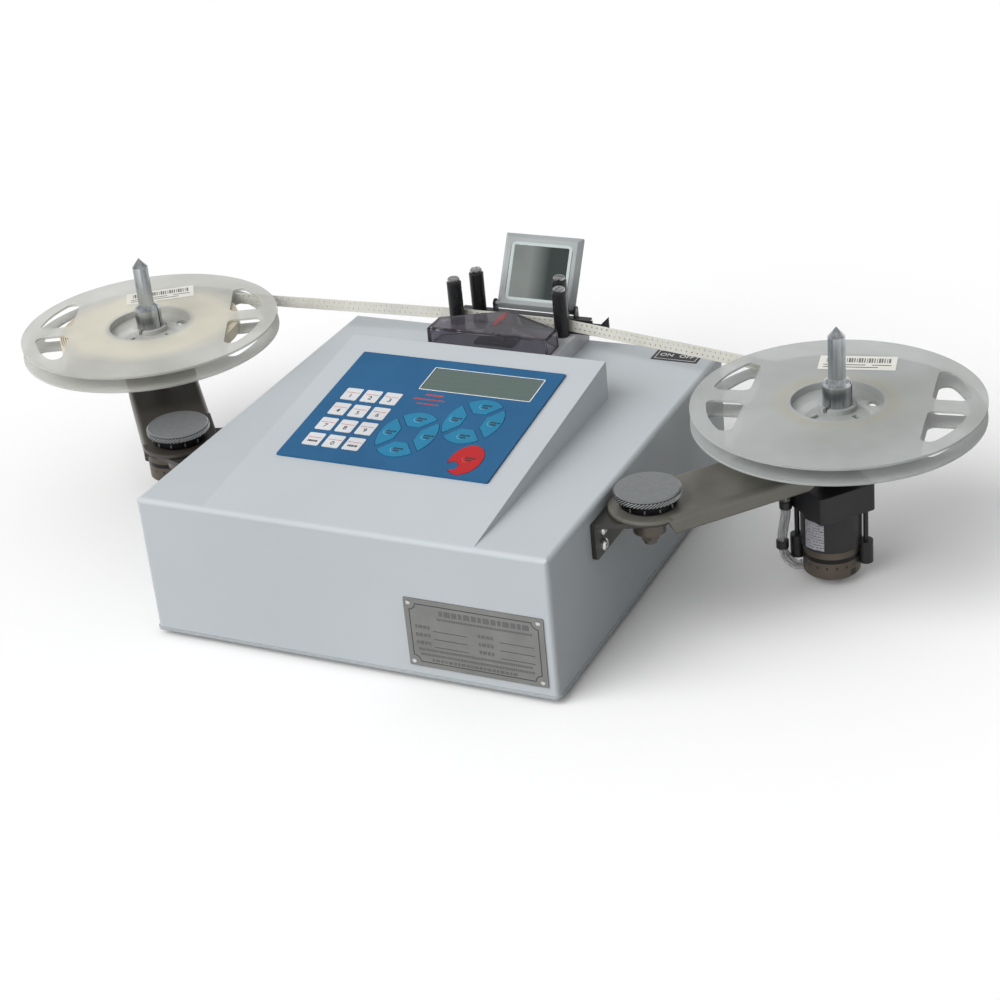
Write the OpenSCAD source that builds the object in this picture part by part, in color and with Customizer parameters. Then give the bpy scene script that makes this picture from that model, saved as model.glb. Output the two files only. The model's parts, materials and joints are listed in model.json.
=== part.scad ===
// Bench counter for component tape reels: a sheet-metal console with a keypad and a
// sensing head, and two swinging arms that each carry a gear motor, a spindle and a reel.
// Millimetres, +X to the right, +Y to the rear, +Z up, the floor at z = 0.

/* [Housing] */
// Width of the housing
body_w = 276; // [250:2:320]
// Depth of the housing, front wall to rear wall
body_d = 288; // [280:2:330]
// Height of the housing, underside of the base plate to the flat top
body_h = 93; // [88:1:115]
// Sheet thickness of the cover
wall = 1.5; // [1:0.1:2.5]
// Radius of the cover's folded edges
fold_r = 3; // [2:0.5:5]
// Thickness of the base plate
base_t = 2; // [1:0.1:3]
// Reach of the base plate past the cover's walls
base_lip = 0.8; // [0:0.1:0.8]
// Height of a rubber foot
foot_h = 4; // [3:0.5:8]
// Diameter of a rubber foot
foot_d = 18; // [12:1:24]
// Distance of a foot's centre from the two walls beside it
foot_inset = 16; // [14:1:40]

/* [Console] */
// Width of the raised console
console_w = 182; // [164:2:200]
// Distance of the console's rear wall from the front wall
console_d = 204; // [196:1:215]
// Height of the console's rear edge above the flat top
console_rise = 26; // [18:1:32]

/* [Keypad] */
// Width of the keypad overlay
overlay_w = 145; // [142:1:152]
// Length of the overlay along the slope
overlay_l = 122; // [118:1:130]
// Thickness of the overlay
overlay_t = 1.2; // [1:0.1:1.6]
// Distance of the overlay's centre from the foot of the slope
overlay_at = 120.5; // [118:0.5:124]
// Width of a number key
key_w = 11.5; // [9:0.5:12.5]
// Length of a number key along the slope
key_l = 13.2; // [10:0.1:15]
// Spacing of the number keys across
key_pitch_x = 14.1; // [13.8:0.1:15]
// Spacing of the number keys along the slope
key_pitch_y = 17.4; // [16.5:0.1:17.6]
// Corner radius of a number key
key_r = 1; // [0.5:0.1:2]
// Thickness of a key
key_t = 1; // [0.8:0.1:1.2]
// Free travel under a key
key_travel = 0.35; // [0.2:0.05:0.5]
// Gap round a key in the overlay
key_gap = 0.25; // [0.15:0.05:0.4]
// Half width of a petal key cluster
petal_a = 18.8; // [16:0.2:19]
// Half length of a petal key cluster along the slope
petal_b = 24.4; // [20:0.2:24.6]
// Width of the gap between two petals
petal_split = 4; // [2.5:0.1:5]
// Blank centre of a cluster, as a part of its half size
petal_eye = 0.36; // [0.28:0.02:0.45]
// Half width of the stop key
stop_a = 10.5; // [8.5:0.1:11.5]
// Half length of the stop key along the slope
stop_b = 15.5; // [12:0.5:16]
// Radius of the notch in the stop key
stop_notch = 4.4; // [2.5:0.1:5]
// Width of the display bezel
lcd_w = 76; // [66:0.5:78]
// Length of the display bezel along the slope
lcd_l = 24.3; // [18:0.1:26]
// Depth of the display below the console's top
lcd_h = 7; // [5:0.5:12]

/* [Nameplate] */
// Width of the blank nameplate
plate_w = 90; // [70:1:96]
// Height of the blank nameplate
plate_h = 46.5; // [40:0.5:50]
// Distance of the nameplate from the right wall
plate_in = 6; // [4:0.5:20]
// Height of the nameplate's lower edge above the base plate
plate_up = 7.5; // [5:0.5:20]
// Thickness of the blank nameplate
plate_t = 0.8; // [0.5:0.1:1.2]

/* [Arm brackets] */
// Width of a bracket along the side wall
bracket_w = 60; // [56:1:72]
// Height of a bracket's leg on the side wall
bracket_leg = 24; // [20:1:30]
// Thickness of the bracket's steel
bracket_t = 3; // [2:0.5:4]
// Height of the flat top above the bracket's shelf
bracket_drop = 9; // [7:1:14]
// Distance of the arm's pivot from the side wall
pivot_out = 25; // [25:0.5:32]
// Distance of the arm's pivot from the front wall
pivot_d = 89.5; // [80:0.5:100]
// Radius of the shelf's round end
shelf_r = 20; // [17:1:22]
// Radius of the pivot stud
stud_r = 4; // [3:0.5:5]

/* [Arms] */
// Distance from the pivot to the spindle
arm_l = 132; // [126:1:150]
// Width of an arm
arm_w = 48; // [46:1:49]
// Thickness of an arm's steel
arm_t = 2.5; // [2:0.1:3]
// Depth of an arm's side flange
flange_h = 11; // [8:1:16]
// Angle of an arm from the side-to-side line, towards the rear
arm_angle = 50.5; // [40:0.5:60]
// Outer radius of the bend between an arm's web and its flange
bend_r = 4; // [3:0.5:6]
// Radius of a clamp knob
knob_r = 19.9; // [16:0.1:22]
// Height of a clamp knob's knurled rim
knob_h = 5.4; // [4:0.2:8]
// Height of the black collar under a knob
collar_h = 5.2; // [2:0.2:6]

/* [Motors] */
// Side of the square gearbox
gearbox_w = 40; // [36:1:44]
// Height of the square gearbox
gearbox_h = 18; // [15:1:20]
// Height of the round body under the gearbox
motor_body_h = 24; // [20:1:25]
// Radius of the round body
motor_body_r = 19; // [17:0.5:20]
// Height of the motor can
can_h = 20.5; // [15:0.5:21]
// Radius of the motor can
can_r = 17.8; // [14:0.2:18]
// Height of the gearbox's round neck, up to the arm
neck_h = 20; // [19:1:24]
// Radius of the gearbox's round neck
neck_r = 13; // [10:0.5:15]
// Distance of the motor's axis from the spindle's axis
motor_offset = 6; // [0:0.5:7]

/* [Reels] */
// Diameter of a reel
reel_d = 178; // [170:1:184]
// Thickness of a reel's flange
reel_flange_t = 1.5; // [1.2:0.1:2]
// Gap between a reel's flanges
reel_gap = 8.4; // [8.4:0.1:9]
// Outer radius of a reel's hub
hub_r = 29.7; // [25:0.1:29.9]
// Wall of a reel's hub
hub_wall = 1.7; // [1.2:0.1:2.5]
// Thickness of the web across a reel's hub
hub_web = 2; // [1.5:0.1:3]
// Radius of a reel's centre hole
arbor_r = 9.1; // [8:0.1:10]
// Distance of a flange window's straight inner edge from the centre
window_in = 55; // [45:1:60]
// Outer radius of a flange window
window_out = 79; // [70:1:81]
// Width of the bar between two windows
window_bar = 15; // [10:1:20]
// Height of a reel's underside above its arm
reel_lift = 18; // [16:1:22]
// Turn of the right reel's windows
right_reel_turn = 8; // [-45:1:45]
// Turn of the left reel's windows
left_reel_turn = 27; // [-45:1:45]

/* [Spindles] */
// Height of a spindle's tip above the reel's underside
spindle_h = 60; // [50:1:70]
// Radius of a spindle's stem
stem_r = 5.3; // [4:0.1:6]
// Length of a spindle's stem below its cone
stem_l = 27; // [20:1:30]
// Height of the rounded shoulder between the split collet and the stem
collet_shoulder = 4; // [2:0.5:6]
// Radius of the seat that a reel lies on
seat_r = 20; // [16:1:24]
// Thickness of that seat
seat_t = 3.5; // [2:0.5:5]
// Radius of the drive shaft under a spindle
shaft_r = 5; // [4:0.5:6]

/* [Tape] */
// Width of the carrier tape
tape_w = 8; // [7:0.1:8]
// Thickness of the carrier tape
tape_t = 0.9; // [0.6:0.1:1.2]
// Outer radius of the tape wound on the left reel
left_wind_r = 63; // [45:1:75]
// Outer radius of the tape wound on the right reel
right_wind_r = 35; // [34.5:0.5:50]
// Turns of tape drawn one by one on each reel
wind_turns = 3; // [1:1:6]
// Gap between two drawn turns
wind_gap = 0.5; // [0.42:0.02:0.8]

/* [Sensing head] */
// Place of the sensing head's centre to the right
head_x = -5; // [-8:0.5:2]
// Half width of the head's metal block
head_half_w = 48; // [46:0.5:50]
// Distance of the block's front from the front wall
head_front = 226; // [220:1:228]
// Distance of the block's rear from the front wall
head_rear = 287; // [287:0.5:288]
// Height of the block
head_h = 12; // [10:0.5:14]
// Half width of the smoked cover
hood_half_w = 44; // [40:0.5:44]
// Distance of the cover's front from the front wall
hood_front = 228; // [228:0.5:232]
// Distance of the cover's shoulders from the front wall
hood_shoulder = 246; // [240:0.5:247]
// Distance of the cover's point from the front wall
hood_point = 267.3; // [260:0.1:267.5]
// Height of the smoked cover
hood_h = 13; // [10:0.5:16]
// Wall of the smoked cover
hood_wall = 2; // [1.5:0.1:3]
// Radius of a guide roller
roller_r = 5; // [4:0.1:5.2]
// Length of a guide roller
roller_l = 32; // [26:1:36]
// Half spacing of the front rollers
front_roller_x = 39; // [37:0.5:40]
// Distance of the front rollers from the front wall
front_roller_d = 263.5; // [262:0.5:263.5]
// Half spacing of the rear rollers
rear_roller_x = 31; // [28:0.5:31]
// Distance of the rear rollers from the front wall
rear_roller_d = 282; // [282:0.5:283]
// Radius of a roller's screw
post_r = 2; // [1.5:0.1:2.5]
// Thickness of the rail's steel
rail_t = 1.2; // [0.8:0.1:1.5]
// Reach of the tape rail to the right of the head's centre
rail_reach = 68; // [62:1:76]

/* [Mirror] */
// Width of the mirror's frame
mirror_w = 58; // [54:1:58]
// Height of the mirror's frame
mirror_h = 52; // [44:1:60]
// Thickness of the mirror's frame
mirror_t = 4; // [3:0.5:6]
// Width of the mirror's rim
mirror_rim = 6; // [4:0.5:8]
// Lean of the mirror to the rear
mirror_lean = 30; // [15:1:35]
// Place of the mirror's centre to the right of the head's
mirror_off = 7.5; // [7:0.5:8]
// Distance of the mirror's hinge from the front wall
mirror_d = 290.5; // [290:0.5:292]

/* [Power entry] */
// Distance of the power entry's centre from the right wall
inlet_in = 38; // [32:1:70]
// Height of the power entry's centre above the base plate
inlet_z = 48; // [40:1:54]
// Width of the power entry's flange
inlet_w = 50; // [48:1:54]
// Height of the power entry's flange
inlet_h = 60; // [58:1:64]

/* [Clearances] */
// Radial running clearance of a shaft or pin
run_gap = 0.05; // [0.02:0.01:0.1]
// Gap between moving faces that lie on each other
slide_gap = 0.3; // [0.2:0.05:0.4]
// Radial clearance of a screw in its hole
screw_gap = 0.1; // [0.05:0.05:0.3]

/* [Hidden] */
$fn = 64;
eps = 0.01;

// Heights
base_z = foot_h;
cover_z = base_z + base_t;
top_z = base_z + body_h;
shelf_z = top_z - bracket_drop;
web_z = shelf_z + slide_gap;
web_top = web_z + arm_t;
reel_z = web_top + reel_lift;
tape_z = reel_z + reel_flange_t + (reel_gap - tape_w) / 2;
gearbox_z = web_z - neck_h;
head_z = top_z + head_h;

// The mirror's frame turns on a pin this far above its lower edge
mirror_pin_up = 3;
mirror_pin_r = 1.5;
mirror_pin_z = head_z + rail_t + mirror_pin_up + 2.5;
mirror_x = head_x + mirror_off;
rear_reach = mirror_d + (mirror_h - mirror_pin_up) * sin(mirror_lean) + mirror_t / 2 * cos(mirror_lean);
front_y = -(rear_reach - plate_t) / 2;

// Slope of the console's top, which starts at the front fold
slope_run = console_d - fold_r;
slope = atan(console_rise / slope_run);

// Plan places of the right pivot and the right spindle
pivot = [body_w / 2 + pivot_out, front_y + pivot_d];
arm_dir = [cos(arm_angle), sin(arm_angle)];
spindle_at = pivot + arm_l * arm_dir;
inlet_x = body_w / 2 - inlet_in;

// Keypad layout, from the overlay's centre
number_col = -42;
number_row = 11.3;
left_pad_at = [1, -24];
right_pad_at = [36.3, -2];
stop_at = [49.6, -42];
stop_notch_at = [-0.58 * stop_a, -0.48 * stop_b];
lcd_at = [23.5, 39];
key_lift = key_travel + 0.05;

// Screws
screw_r = 2;
screw_head_r = 3.8;
screw_head_h = 2.2;
bracket_screw_x = bracket_w / 2 - 11;
bracket_screw_z = [6, 16.5];
base_tab = 14;
base_tab_h = 6;
base_screw_in = wall + base_tab / 2;

// Power entry, from its flange's centre
inlet_t = 2;
socket_z = -13;
socket_w = 25;
socket_h = 17;
socket_depth = 17;
rocker_z = 15;
rocker_w = 12.4;
rocker_l = 17;
rocker_tilt = 8;
rocker_pin_r = 1.5;
rocker_back = 4;

// Helpers

// Distance from the front wall to a place along Y
function at_d(d) = front_y + d;

// Points of an arc
function arc(r, a0, a1, n) = [for (i = [0:n]) let (a = a0 + (a1 - a0) * i / n) r * [cos(a), sin(a)]];

function reversed(list) = [for (i = [len(list) - 1:-1:0]) list[i]];

module rounded_rect(w, l, r) {
    square([w - 2 * r, l], center = true);
    square([w, l - 2 * r], center = true);
    for (x = [-1, 1], y = [-1, 1]) translate([x * (w / 2 - r), y * (l / 2 - r)]) circle(r);
}

// A wall profile with round upper corners, standing on the X axis
module round_top(w, h, r) {
    translate([-w / 2, 0]) square([w, h - r]);
    translate([-w / 2 + r, 0]) square([w - 2 * r, h]);
    for (x = [-1, 1]) translate([x * (w / 2 - r), h - r]) circle(r);
}

module mirrored_left() {
    mirror([1, 0, 0]) children();
}

// The console's sloping top: x across, y up the slope from the front fold, z off the sheet
module on_console() {
    translate([0, at_d(fold_r), top_z]) rotate([slope, 0, 0]) children();
}

module on_overlay(p) {
    on_console() translate([p[0], overlay_at + p[1], 0]) children();
}

// A frame on the right arm: x along the arm from the pivot, z as the part
module on_arm() {
    translate([pivot[0], pivot[1], 0]) rotate([0, 0, arm_angle]) children();
}

module on_spindle() {
    translate([spindle_at[0], spindle_at[1], 0]) children();
}

// A pan-head screw along +Z with its head's underside at z = 0
module pan_screw(l) {
    difference() {
        union() {
            rotate_extrude() polygon([
                [0, 0], [screw_head_r, 0], [screw_head_r, screw_head_h * 0.55],
                [screw_head_r * 0.6, screw_head_h], [0, screw_head_h]
            ]);
            translate([0, 0, -l]) cylinder(r = screw_r, h = l + eps);
        }
        for (a = [0, 90]) rotate([0, 0, a]) translate([0, 0, screw_head_h])
            cube([screw_head_r * 1.1, 0.9, 2.2], center = true);
    }
}

// Places of the bracket's screws on the right wall
module at_bracket_screws() {
    for (y = [-1, 1], z = bracket_screw_z)
        translate([body_w / 2 + bracket_t, pivot[1] + y * bracket_screw_x, shelf_z - bracket_leg + z])
            rotate([0, 90, 0]) children();
}

// Places of the screws that hold the cover to the base plate
module at_base_screws() {
    for (x = [-1, 1], y = [0, 0.5, 1])
        translate([
            x * (body_w / 2 - base_screw_in),
            at_d(base_screw_in + foot_inset + foot_d / 2
                + y * (body_d - 2 * base_screw_in - 2 * foot_inset - foot_d)),
            base_z
        ]) rotate([180, 0, 0]) children();
}

// Housing

module box_form(w, d, h, r) {
    intersection() {
        rotate([90, 0, 0]) linear_extrude(d, center = true) round_top(w, h, r);
        rotate([90, 0, 90]) linear_extrude(w, center = true) round_top(d, h, r);
        linear_extrude(h) rounded_rect(w, d, r);
    }
}

// The console's wedge, its top lowered by drop and its sides and rear moved in by inset
module console_wedge(drop, inset, root) {
    rise_at = function(d) console_rise * (d - fold_r) / slope_run - drop;
    rear = console_d - inset;
    translate([0, front_y, top_z]) rotate([90, 0, 90])
        linear_extrude(console_w - 2 * inset, center = true)
            polygon([[fold_r, rise_at(fold_r)], [rear, rise_at(rear)], [rear, -root], [fold_r, -root]]);
}

module housing_cover() {
    h = body_h - base_t;
    mid_y = at_d(body_d / 2);
    color("gainsboro") difference() {
        union() {
            difference() {
                union() {
                    translate([0, mid_y, cover_z]) box_form(body_w, body_d, h, fold_r);
                    console_wedge(0, 0, wall);
                }
                translate([0, mid_y, cover_z - 1])
                    box_form(body_w - 2 * wall, body_d - 2 * wall, h + 1 - wall, fold_r - wall / 2);
                console_wedge(wall / cos(slope), wall, wall + 1);
            }
            at_base_screws() translate([-base_tab / 2, -base_tab / 2, -base_t - base_tab_h])
                cube([base_tab, base_tab, base_tab_h]);
        }
        on_overlay(lcd_at) cube([lcd_w + 2 * key_gap, lcd_l + 2 * key_gap, 20], center = true);
        at_bracket_screws() cylinder(r = screw_r + screw_gap, h = 40, center = true);
        mirrored_left() at_bracket_screws() cylinder(r = screw_r + screw_gap, h = 40, center = true);
        at_base_screws() translate([0, 0, -20]) cylinder(r = screw_r + screw_gap, h = 30);
        translate([inlet_x, at_d(body_d), base_z + inlet_z])
            cube([inlet_w - 4 + 2 * screw_gap, 20, inlet_h - 4 + 2 * screw_gap], center = true);
    }
}

board_w = 150;
board_l = 110;
board_t = 1.6;
board_d = 150;
board_post_h = 8;
board_z = cover_z + board_post_h;

module at_board_posts() {
    for (x = [-1, 1], y = [-1, 1])
        translate([x * (board_w / 2 - 6), at_d(board_d) + y * (board_l / 2 - 6), cover_z]) children();
}

module base_plate() {
    color("silver") difference() {
        union() {
            translate([0, at_d(body_d / 2), base_z]) linear_extrude(base_t)
                rounded_rect(body_w + 2 * base_lip, body_d + 2 * base_lip, fold_r + base_lip);
            at_board_posts() translate([0, 0, -eps]) cylinder(r = 3.5, h = board_post_h + eps);
        }
        at_base_screws() cylinder(r = screw_r + screw_gap, h = 20, center = true);
    }
}

module rubber_feet() {
    color("dimgray") for (x = [-1, 1], y = [foot_inset, body_d - foot_inset])
        translate([x * (body_w / 2 - foot_inset), at_d(y), 0]) rotate_extrude() polygon([
            [0, 0], [foot_d / 2 - 1.2, 0], [foot_d / 2, 1.2], [foot_d / 2 - 0.6, foot_h], [0, foot_h]
        ]);
}

module pan_screws() {
    color("silver") {
        at_bracket_screws() pan_screw(8);
        mirrored_left() at_bracket_screws() pan_screw(8);
        at_base_screws() pan_screw(7);
    }
}

// The parts on the board: transformer, processor, two capacitors and a finned regulator
transformer = [38, 46, 30];
transformer_at = [-board_w / 3, -15];
chip = [24, 24, 3.5];
chip_at = [20, -20];
capacitor_r = 6;
capacitor_h = 18;
capacitor_y = 30;
fin_t = 2;
fin_pitch = 5;
fins = 5;
sink = [fin_t + (fins - 1) * fin_pitch, 24, 22];
sink_at = [45, 25];

module board_block(at, size, round) {
    translate([at[0], at[1], board_t - eps]) linear_extrude(size[2]) rounded_rect(size[0], size[1], round);
}

module main_board() {
    color("darkgreen") translate([0, at_d(board_d), board_z]) {
        linear_extrude(board_t) rounded_rect(board_w, board_l, 3);
        board_block(transformer_at, transformer, 2);
        board_block(chip_at, chip, 0.6);
        for (x = [-15, 0]) translate([x, capacitor_y, board_t - eps])
            cylinder(r = capacitor_r, h = capacitor_h);
        translate([sink_at[0], sink_at[1], board_t - eps]) {
            cube([sink[0], sink[1], 3]);
            for (i = [0:fins - 1]) translate([i * fin_pitch, 0, 0]) cube([fin_t, sink[1], sink[2]]);
        }
    }
}

module nameplate() {
    color("lightgray") translate([
        body_w / 2 - plate_w / 2 - plate_in, front_y, base_z + plate_h / 2 + plate_up
    ]) rotate([90, 0, 0]) linear_extrude(plate_t) rounded_rect(plate_w, plate_h, 0.8);
}

// Keypad

// One petal of a cluster of half size 1: a quarter disc, cut off its neighbours by a gap along the
// diagonals and off the blank centre by a straight edge; gap makes it that much larger all round
function petal_outline(gap) = let (
    skew = norm([petal_a, petal_b]) / (petal_a * petal_b),
    outer = 1 + gap / petal_a, inner = petal_eye - gap / petal_a,
    cut = (petal_split / 2 - gap) * skew, half = inner - cut,
    a_out = 45 - asin(cut / outer / sqrt(2))
) concat(arc(outer, -a_out, a_out, 14), [[inner, half], [inner, -half]]);

// side is the turn of the petal: 0 right, 90 rear, 180 left, 270 front
module petal_shape(side, gap) {
    polygon([for (p = petal_outline(gap)) let (
        q = [p[0] * cos(side) - p[1] * sin(side), p[0] * sin(side) + p[1] * cos(side)]
    ) [q[0] * petal_a, q[1] * petal_b]]);
}

// The stop key: an ellipse with a round notch out of its front left edge
module stop_shape(gap) {
    difference() {
        polygon([for (p = arc(1, 0, 350, 35)) [p[0] * (stop_a + gap), p[1] * (stop_b + gap)]]);
        translate(stop_notch_at) circle(stop_notch - gap);
    }
}

module number_shape(gap) {
    rounded_rect(key_w + 2 * gap, key_l + 2 * gap, key_r + gap);
}

function number_at(col, row) = [number_col + (col - 1) * key_pitch_x, number_row - row * key_pitch_y];

module key_body(p, c) {
    color(c) on_overlay(p) translate([0, 0, key_lift]) linear_extrude(key_t) children();
}

module number_key(col, row) {
    key_body(number_at(col, row), "white") number_shape(0);
}

module petal_key(p, side) {
    key_body(p, "deepskyblue") petal_shape(side, 0);
}

module key_stop() {
    key_body(stop_at, "red") stop_shape(0);
}

module keypad_overlay() {
    color("steelblue") on_overlay([0, 0]) linear_extrude(overlay_t) difference() {
        rounded_rect(overlay_w, overlay_l, 1);
        translate(lcd_at) square([lcd_w + 2 * key_gap, lcd_l + 2 * key_gap], center = true);
        for (col = [0:2], row = [0:3]) translate(number_at(col, row)) number_shape(key_gap);
        for (p = [left_pad_at, right_pad_at], side = [0:90:270]) translate(p) petal_shape(side, key_gap);
        translate(stop_at) stop_shape(key_gap);
    }
}

// The display hangs on four posts under the console's sheet, its face almost level with the overlay
module lcd_module() {
    face = overlay_t - 0.15;
    pcb_w = lcd_w + 10;
    pcb_l = lcd_l + 12;
    pcb_t = 1.6;
    color("darkolivegreen") on_overlay(lcd_at) {
        translate([0, 0, -lcd_h]) linear_extrude(lcd_h + face) rounded_rect(lcd_w, lcd_l, 0.6);
        translate([0, 0, -lcd_h - pcb_t]) linear_extrude(pcb_t + eps) rounded_rect(pcb_w, pcb_l, 1);
        for (x = [-1, 1], y = [-1, 1]) translate([x * (pcb_w / 2 - 2.5), y * (pcb_l / 2 - 2.5), -lcd_h - eps])
            cylinder(r = 2, h = lcd_h - wall + eps);
    }
}

// Power entry

module on_inlet() {
    translate([inlet_x, at_d(body_d), base_z + inlet_z]) rotate([90, 0, 180]) children();
}

// x to the left as seen from the front, y up, z out of the rear wall
module power_inlet() {
    depth = 24;
    color("black") on_inlet() {
        difference() {
            union() {
                linear_extrude(inlet_t) rounded_rect(inlet_w, inlet_h, 3);
                translate([0, 0, -depth]) linear_extrude(depth + eps)
                    rounded_rect(inlet_w - 4, inlet_h - 4, 2);
            }
            translate([0, socket_z, inlet_t - socket_depth]) linear_extrude(socket_depth + 1) polygon([
                [-socket_w / 2, -socket_h / 2], [socket_w / 2, -socket_h / 2],
                [socket_w / 2, socket_h / 2 - 5], [socket_w / 2 - 5, socket_h / 2],
                [-socket_w / 2 + 5, socket_h / 2], [-socket_w / 2, socket_h / 2 - 5]
            ]);
            translate([0, rocker_z, inlet_t - 14])
                linear_extrude(15) square([rocker_w + 2 * slide_gap, rocker_l + 4], center = true);
            translate([0, rocker_z, inlet_t - rocker_back]) rotate([0, 90, 0])
                cylinder(r = rocker_pin_r + run_gap, h = rocker_w + 5, center = true);
        }
        for (p = [[-7, -2.5], [7, -2.5], [0, 3]])
            translate([p[0], socket_z + p[1], inlet_t - socket_depth - eps])
            linear_extrude(socket_depth - 3) square([2, 4], center = true);
    }
}

module power_rocker() {
    half = rocker_l / 2;
    color("darkred") on_inlet() translate([0, rocker_z, inlet_t - rocker_back]) rotate([rocker_tilt, 0, 0]) {
        rotate([0, 90, 0]) linear_extrude(rocker_w, center = true)
            polygon([
                [4, -half + 2], [-rocker_back - 1.5, -half], [-rocker_back, 0],
                [-rocker_back - 1.5, half], [4, half - 2]
            ]);
        rotate([0, 90, 0]) cylinder(r = rocker_pin_r, h = rocker_w + 4, center = true);
    }
}

// Sensing head

function roller_places() = [
    [head_x - front_roller_x, front_roller_d], [head_x + front_roller_x, front_roller_d],
    [head_x - rear_roller_x, rear_roller_d], [head_x + rear_roller_x, rear_roller_d]
];

post_sink = 7;

module at_roller(i) {
    translate([roller_places()[i][0], at_d(roller_places()[i][1]), head_z]) children();
}

module head_block() {
    color("darkgray") difference() {
        translate([head_x - head_half_w, at_d(head_front), top_z])
            cube([2 * head_half_w, head_rear - head_front, head_h]);
        for (i = [0:3]) at_roller(i) translate([0, 0, -post_sink - 1])
            cylinder(r = post_r + screw_gap, h = 20);
    }
}

// The cover's house-shaped plan, moved in by inset
module hood_plan(inset) {
    rise = atan((hood_point - hood_shoulder) / hood_half_w);
    half = hood_half_w - inset;
    point = hood_point - inset / cos(rise);
    shoulder = point - half * tan(rise);
    polygon([
        [-half, at_d(hood_front + inset)], [half, at_d(hood_front + inset)],
        [half, at_d(shoulder)], [0, at_d(point)], [-half, at_d(shoulder)]
    ]);
}

module head_cover() {
    roof = 2.5;
    color("dimgray") translate([head_x, 0, head_z]) difference() {
        union() {
            linear_extrude(hood_h - 1) hood_plan(0);
            translate([0, 0, hood_h - 1 - eps]) linear_extrude(1 + eps) hood_plan(1);
        }
        translate([0, 0, -1]) linear_extrude(hood_h - roof + 1) hood_plan(hood_wall);
    }
}

module photo_sensor() {
    sensor_l = 12;
    color("black") translate([head_x, at_d(hood_shoulder), head_z]) {
        translate([-14, -9, 0]) cube([28, 14, 2]);
        translate([-7, -sensor_l / 2, 2 - eps]) cube([14, sensor_l, 6]);
    }
}

// A bent strip under and behind the tape, with a lead-in ear on the right and two lugs for the mirror's pin
module tape_rail() {
    floor_front = hood_point + 0.5;
    wall_d = rear_roller_d - roller_r - slide_gap - rail_t;
    wall_h = tape_z + tape_w - 2.5 - head_z;
    wall_left = -20;
    low = 5;
    ear_h = wall_h + 4;
    ear_w = 6;
    lug_r = 3;
    lug_x = mirror_w / 2 + 2 * slide_gap;
    left = -head_half_w;
    right = rail_reach;
    color("darkslategray") difference() {
        union() {
            translate([head_x + left, at_d(floor_front), head_z])
                cube([right - 4 - left, wall_d + rail_t - floor_front, rail_t]);
            translate([head_x + left, at_d(wall_d), head_z])
                cube([2 * head_half_w, mirror_d + lug_r - wall_d, rail_t]);
            translate([head_x, at_d(wall_d + rail_t), head_z]) rotate([90, 0, 0]) linear_extrude(rail_t)
                polygon([
                    [wall_left, 0], [right, 0], [right, ear_h], [right - ear_w, low],
                    [right - 2 * ear_w, low], [right - 2 * ear_w, wall_h], [wall_left, wall_h]
                ]);
            for (s = [-1, 1]) translate([mirror_x + s * (lug_x + rail_t / 2), at_d(mirror_d), 0])
                rotate([90, 0, 90]) linear_extrude(rail_t, center = true) {
                    translate([-lug_r, head_z]) square([2 * lug_r, mirror_pin_z - head_z]);
                    translate([0, mirror_pin_z]) circle(lug_r);
                }
        }
        for (i = [0:3]) at_roller(i) translate([0, 0, -1]) cylinder(r = roller_r + slide_gap, h = 60);
        translate([mirror_x, at_d(mirror_d), mirror_pin_z]) rotate([0, 90, 0])
            cylinder(r = mirror_pin_r + run_gap, h = mirror_w + 20, center = true);
    }
}

module guide_roller(i) {
    color("black") at_roller(i) translate([0, 0, slide_gap]) difference() {
        rotate_extrude() polygon([
            [0, 0], [roller_r, 0], [roller_r, roller_l - 0.8], [roller_r - 0.8, roller_l], [0, roller_l]
        ]);
        translate([0, 0, -1]) cylinder(r = post_r + run_gap, h = roller_l + 2);
    }
}

module post_screws() {
    head_up = roller_l + 2 * slide_gap;
    color("silver") for (i = [0:3]) at_roller(i) difference() {
        union() {
            translate([0, 0, -post_sink]) cylinder(r = post_r, h = post_sink + head_up + eps);
            translate([0, 0, head_up]) rotate_extrude() polygon([
                [0, 0], [roller_r - 0.9, 0], [roller_r - 0.9, 1.4], [roller_r - 1.7, 2.2], [0, 2.2]
            ]);
        }
        translate([0, 0, head_up + 2.2]) rotate([0, 0, 30 + 50 * i])
            cube([2 * roller_r, 1, 1.6], center = true);
    }
}

// Mirror

module on_mirror() {
    translate([mirror_x, at_d(mirror_d), mirror_pin_z]) rotate([-mirror_lean, 0, 0])
        translate([0, 0, mirror_h / 2 - mirror_pin_up]) rotate([90, 0, 0]) children();
}

glass_t = 1.5;
glass_sink = 0.4;

// Section of the frame: a plate whose edges slope in towards the front
function sloped(w) = let (low = -mirror_t / 2, slope = mirror_t - 1) [
    [-w / 2, low], [w / 2, low], [w / 2, low + 1],
    [w / 2 - slope, -low], [slope - w / 2, -low], [-w / 2, low + 1]
];

module mirror_frame() {
    color("lightgray") {
        on_mirror() difference() {
            intersection() {
                translate([0, 0, -mirror_t / 2]) linear_extrude(mirror_t)
                    rounded_rect(mirror_w, mirror_h, 1.2);
                rotate([90, 0, 0]) linear_extrude(2 * mirror_h, center = true) polygon(sloped(mirror_w));
                rotate([90, 0, 90]) linear_extrude(2 * mirror_w, center = true) polygon(sloped(mirror_h));
            }
            translate([0, 0, mirror_t / 2 - glass_t - glass_sink]) linear_extrude(mirror_t)
                rounded_rect(mirror_w - 2 * mirror_rim + 0.2, mirror_h - 2 * mirror_rim + 0.2, 4.1);
        }
        translate([mirror_x, at_d(mirror_d), mirror_pin_z]) rotate([0, 90, 0])
            cylinder(r = mirror_pin_r, h = mirror_w + 4 * slide_gap + 2 * rail_t + 0.6, center = true);
    }
}

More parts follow.
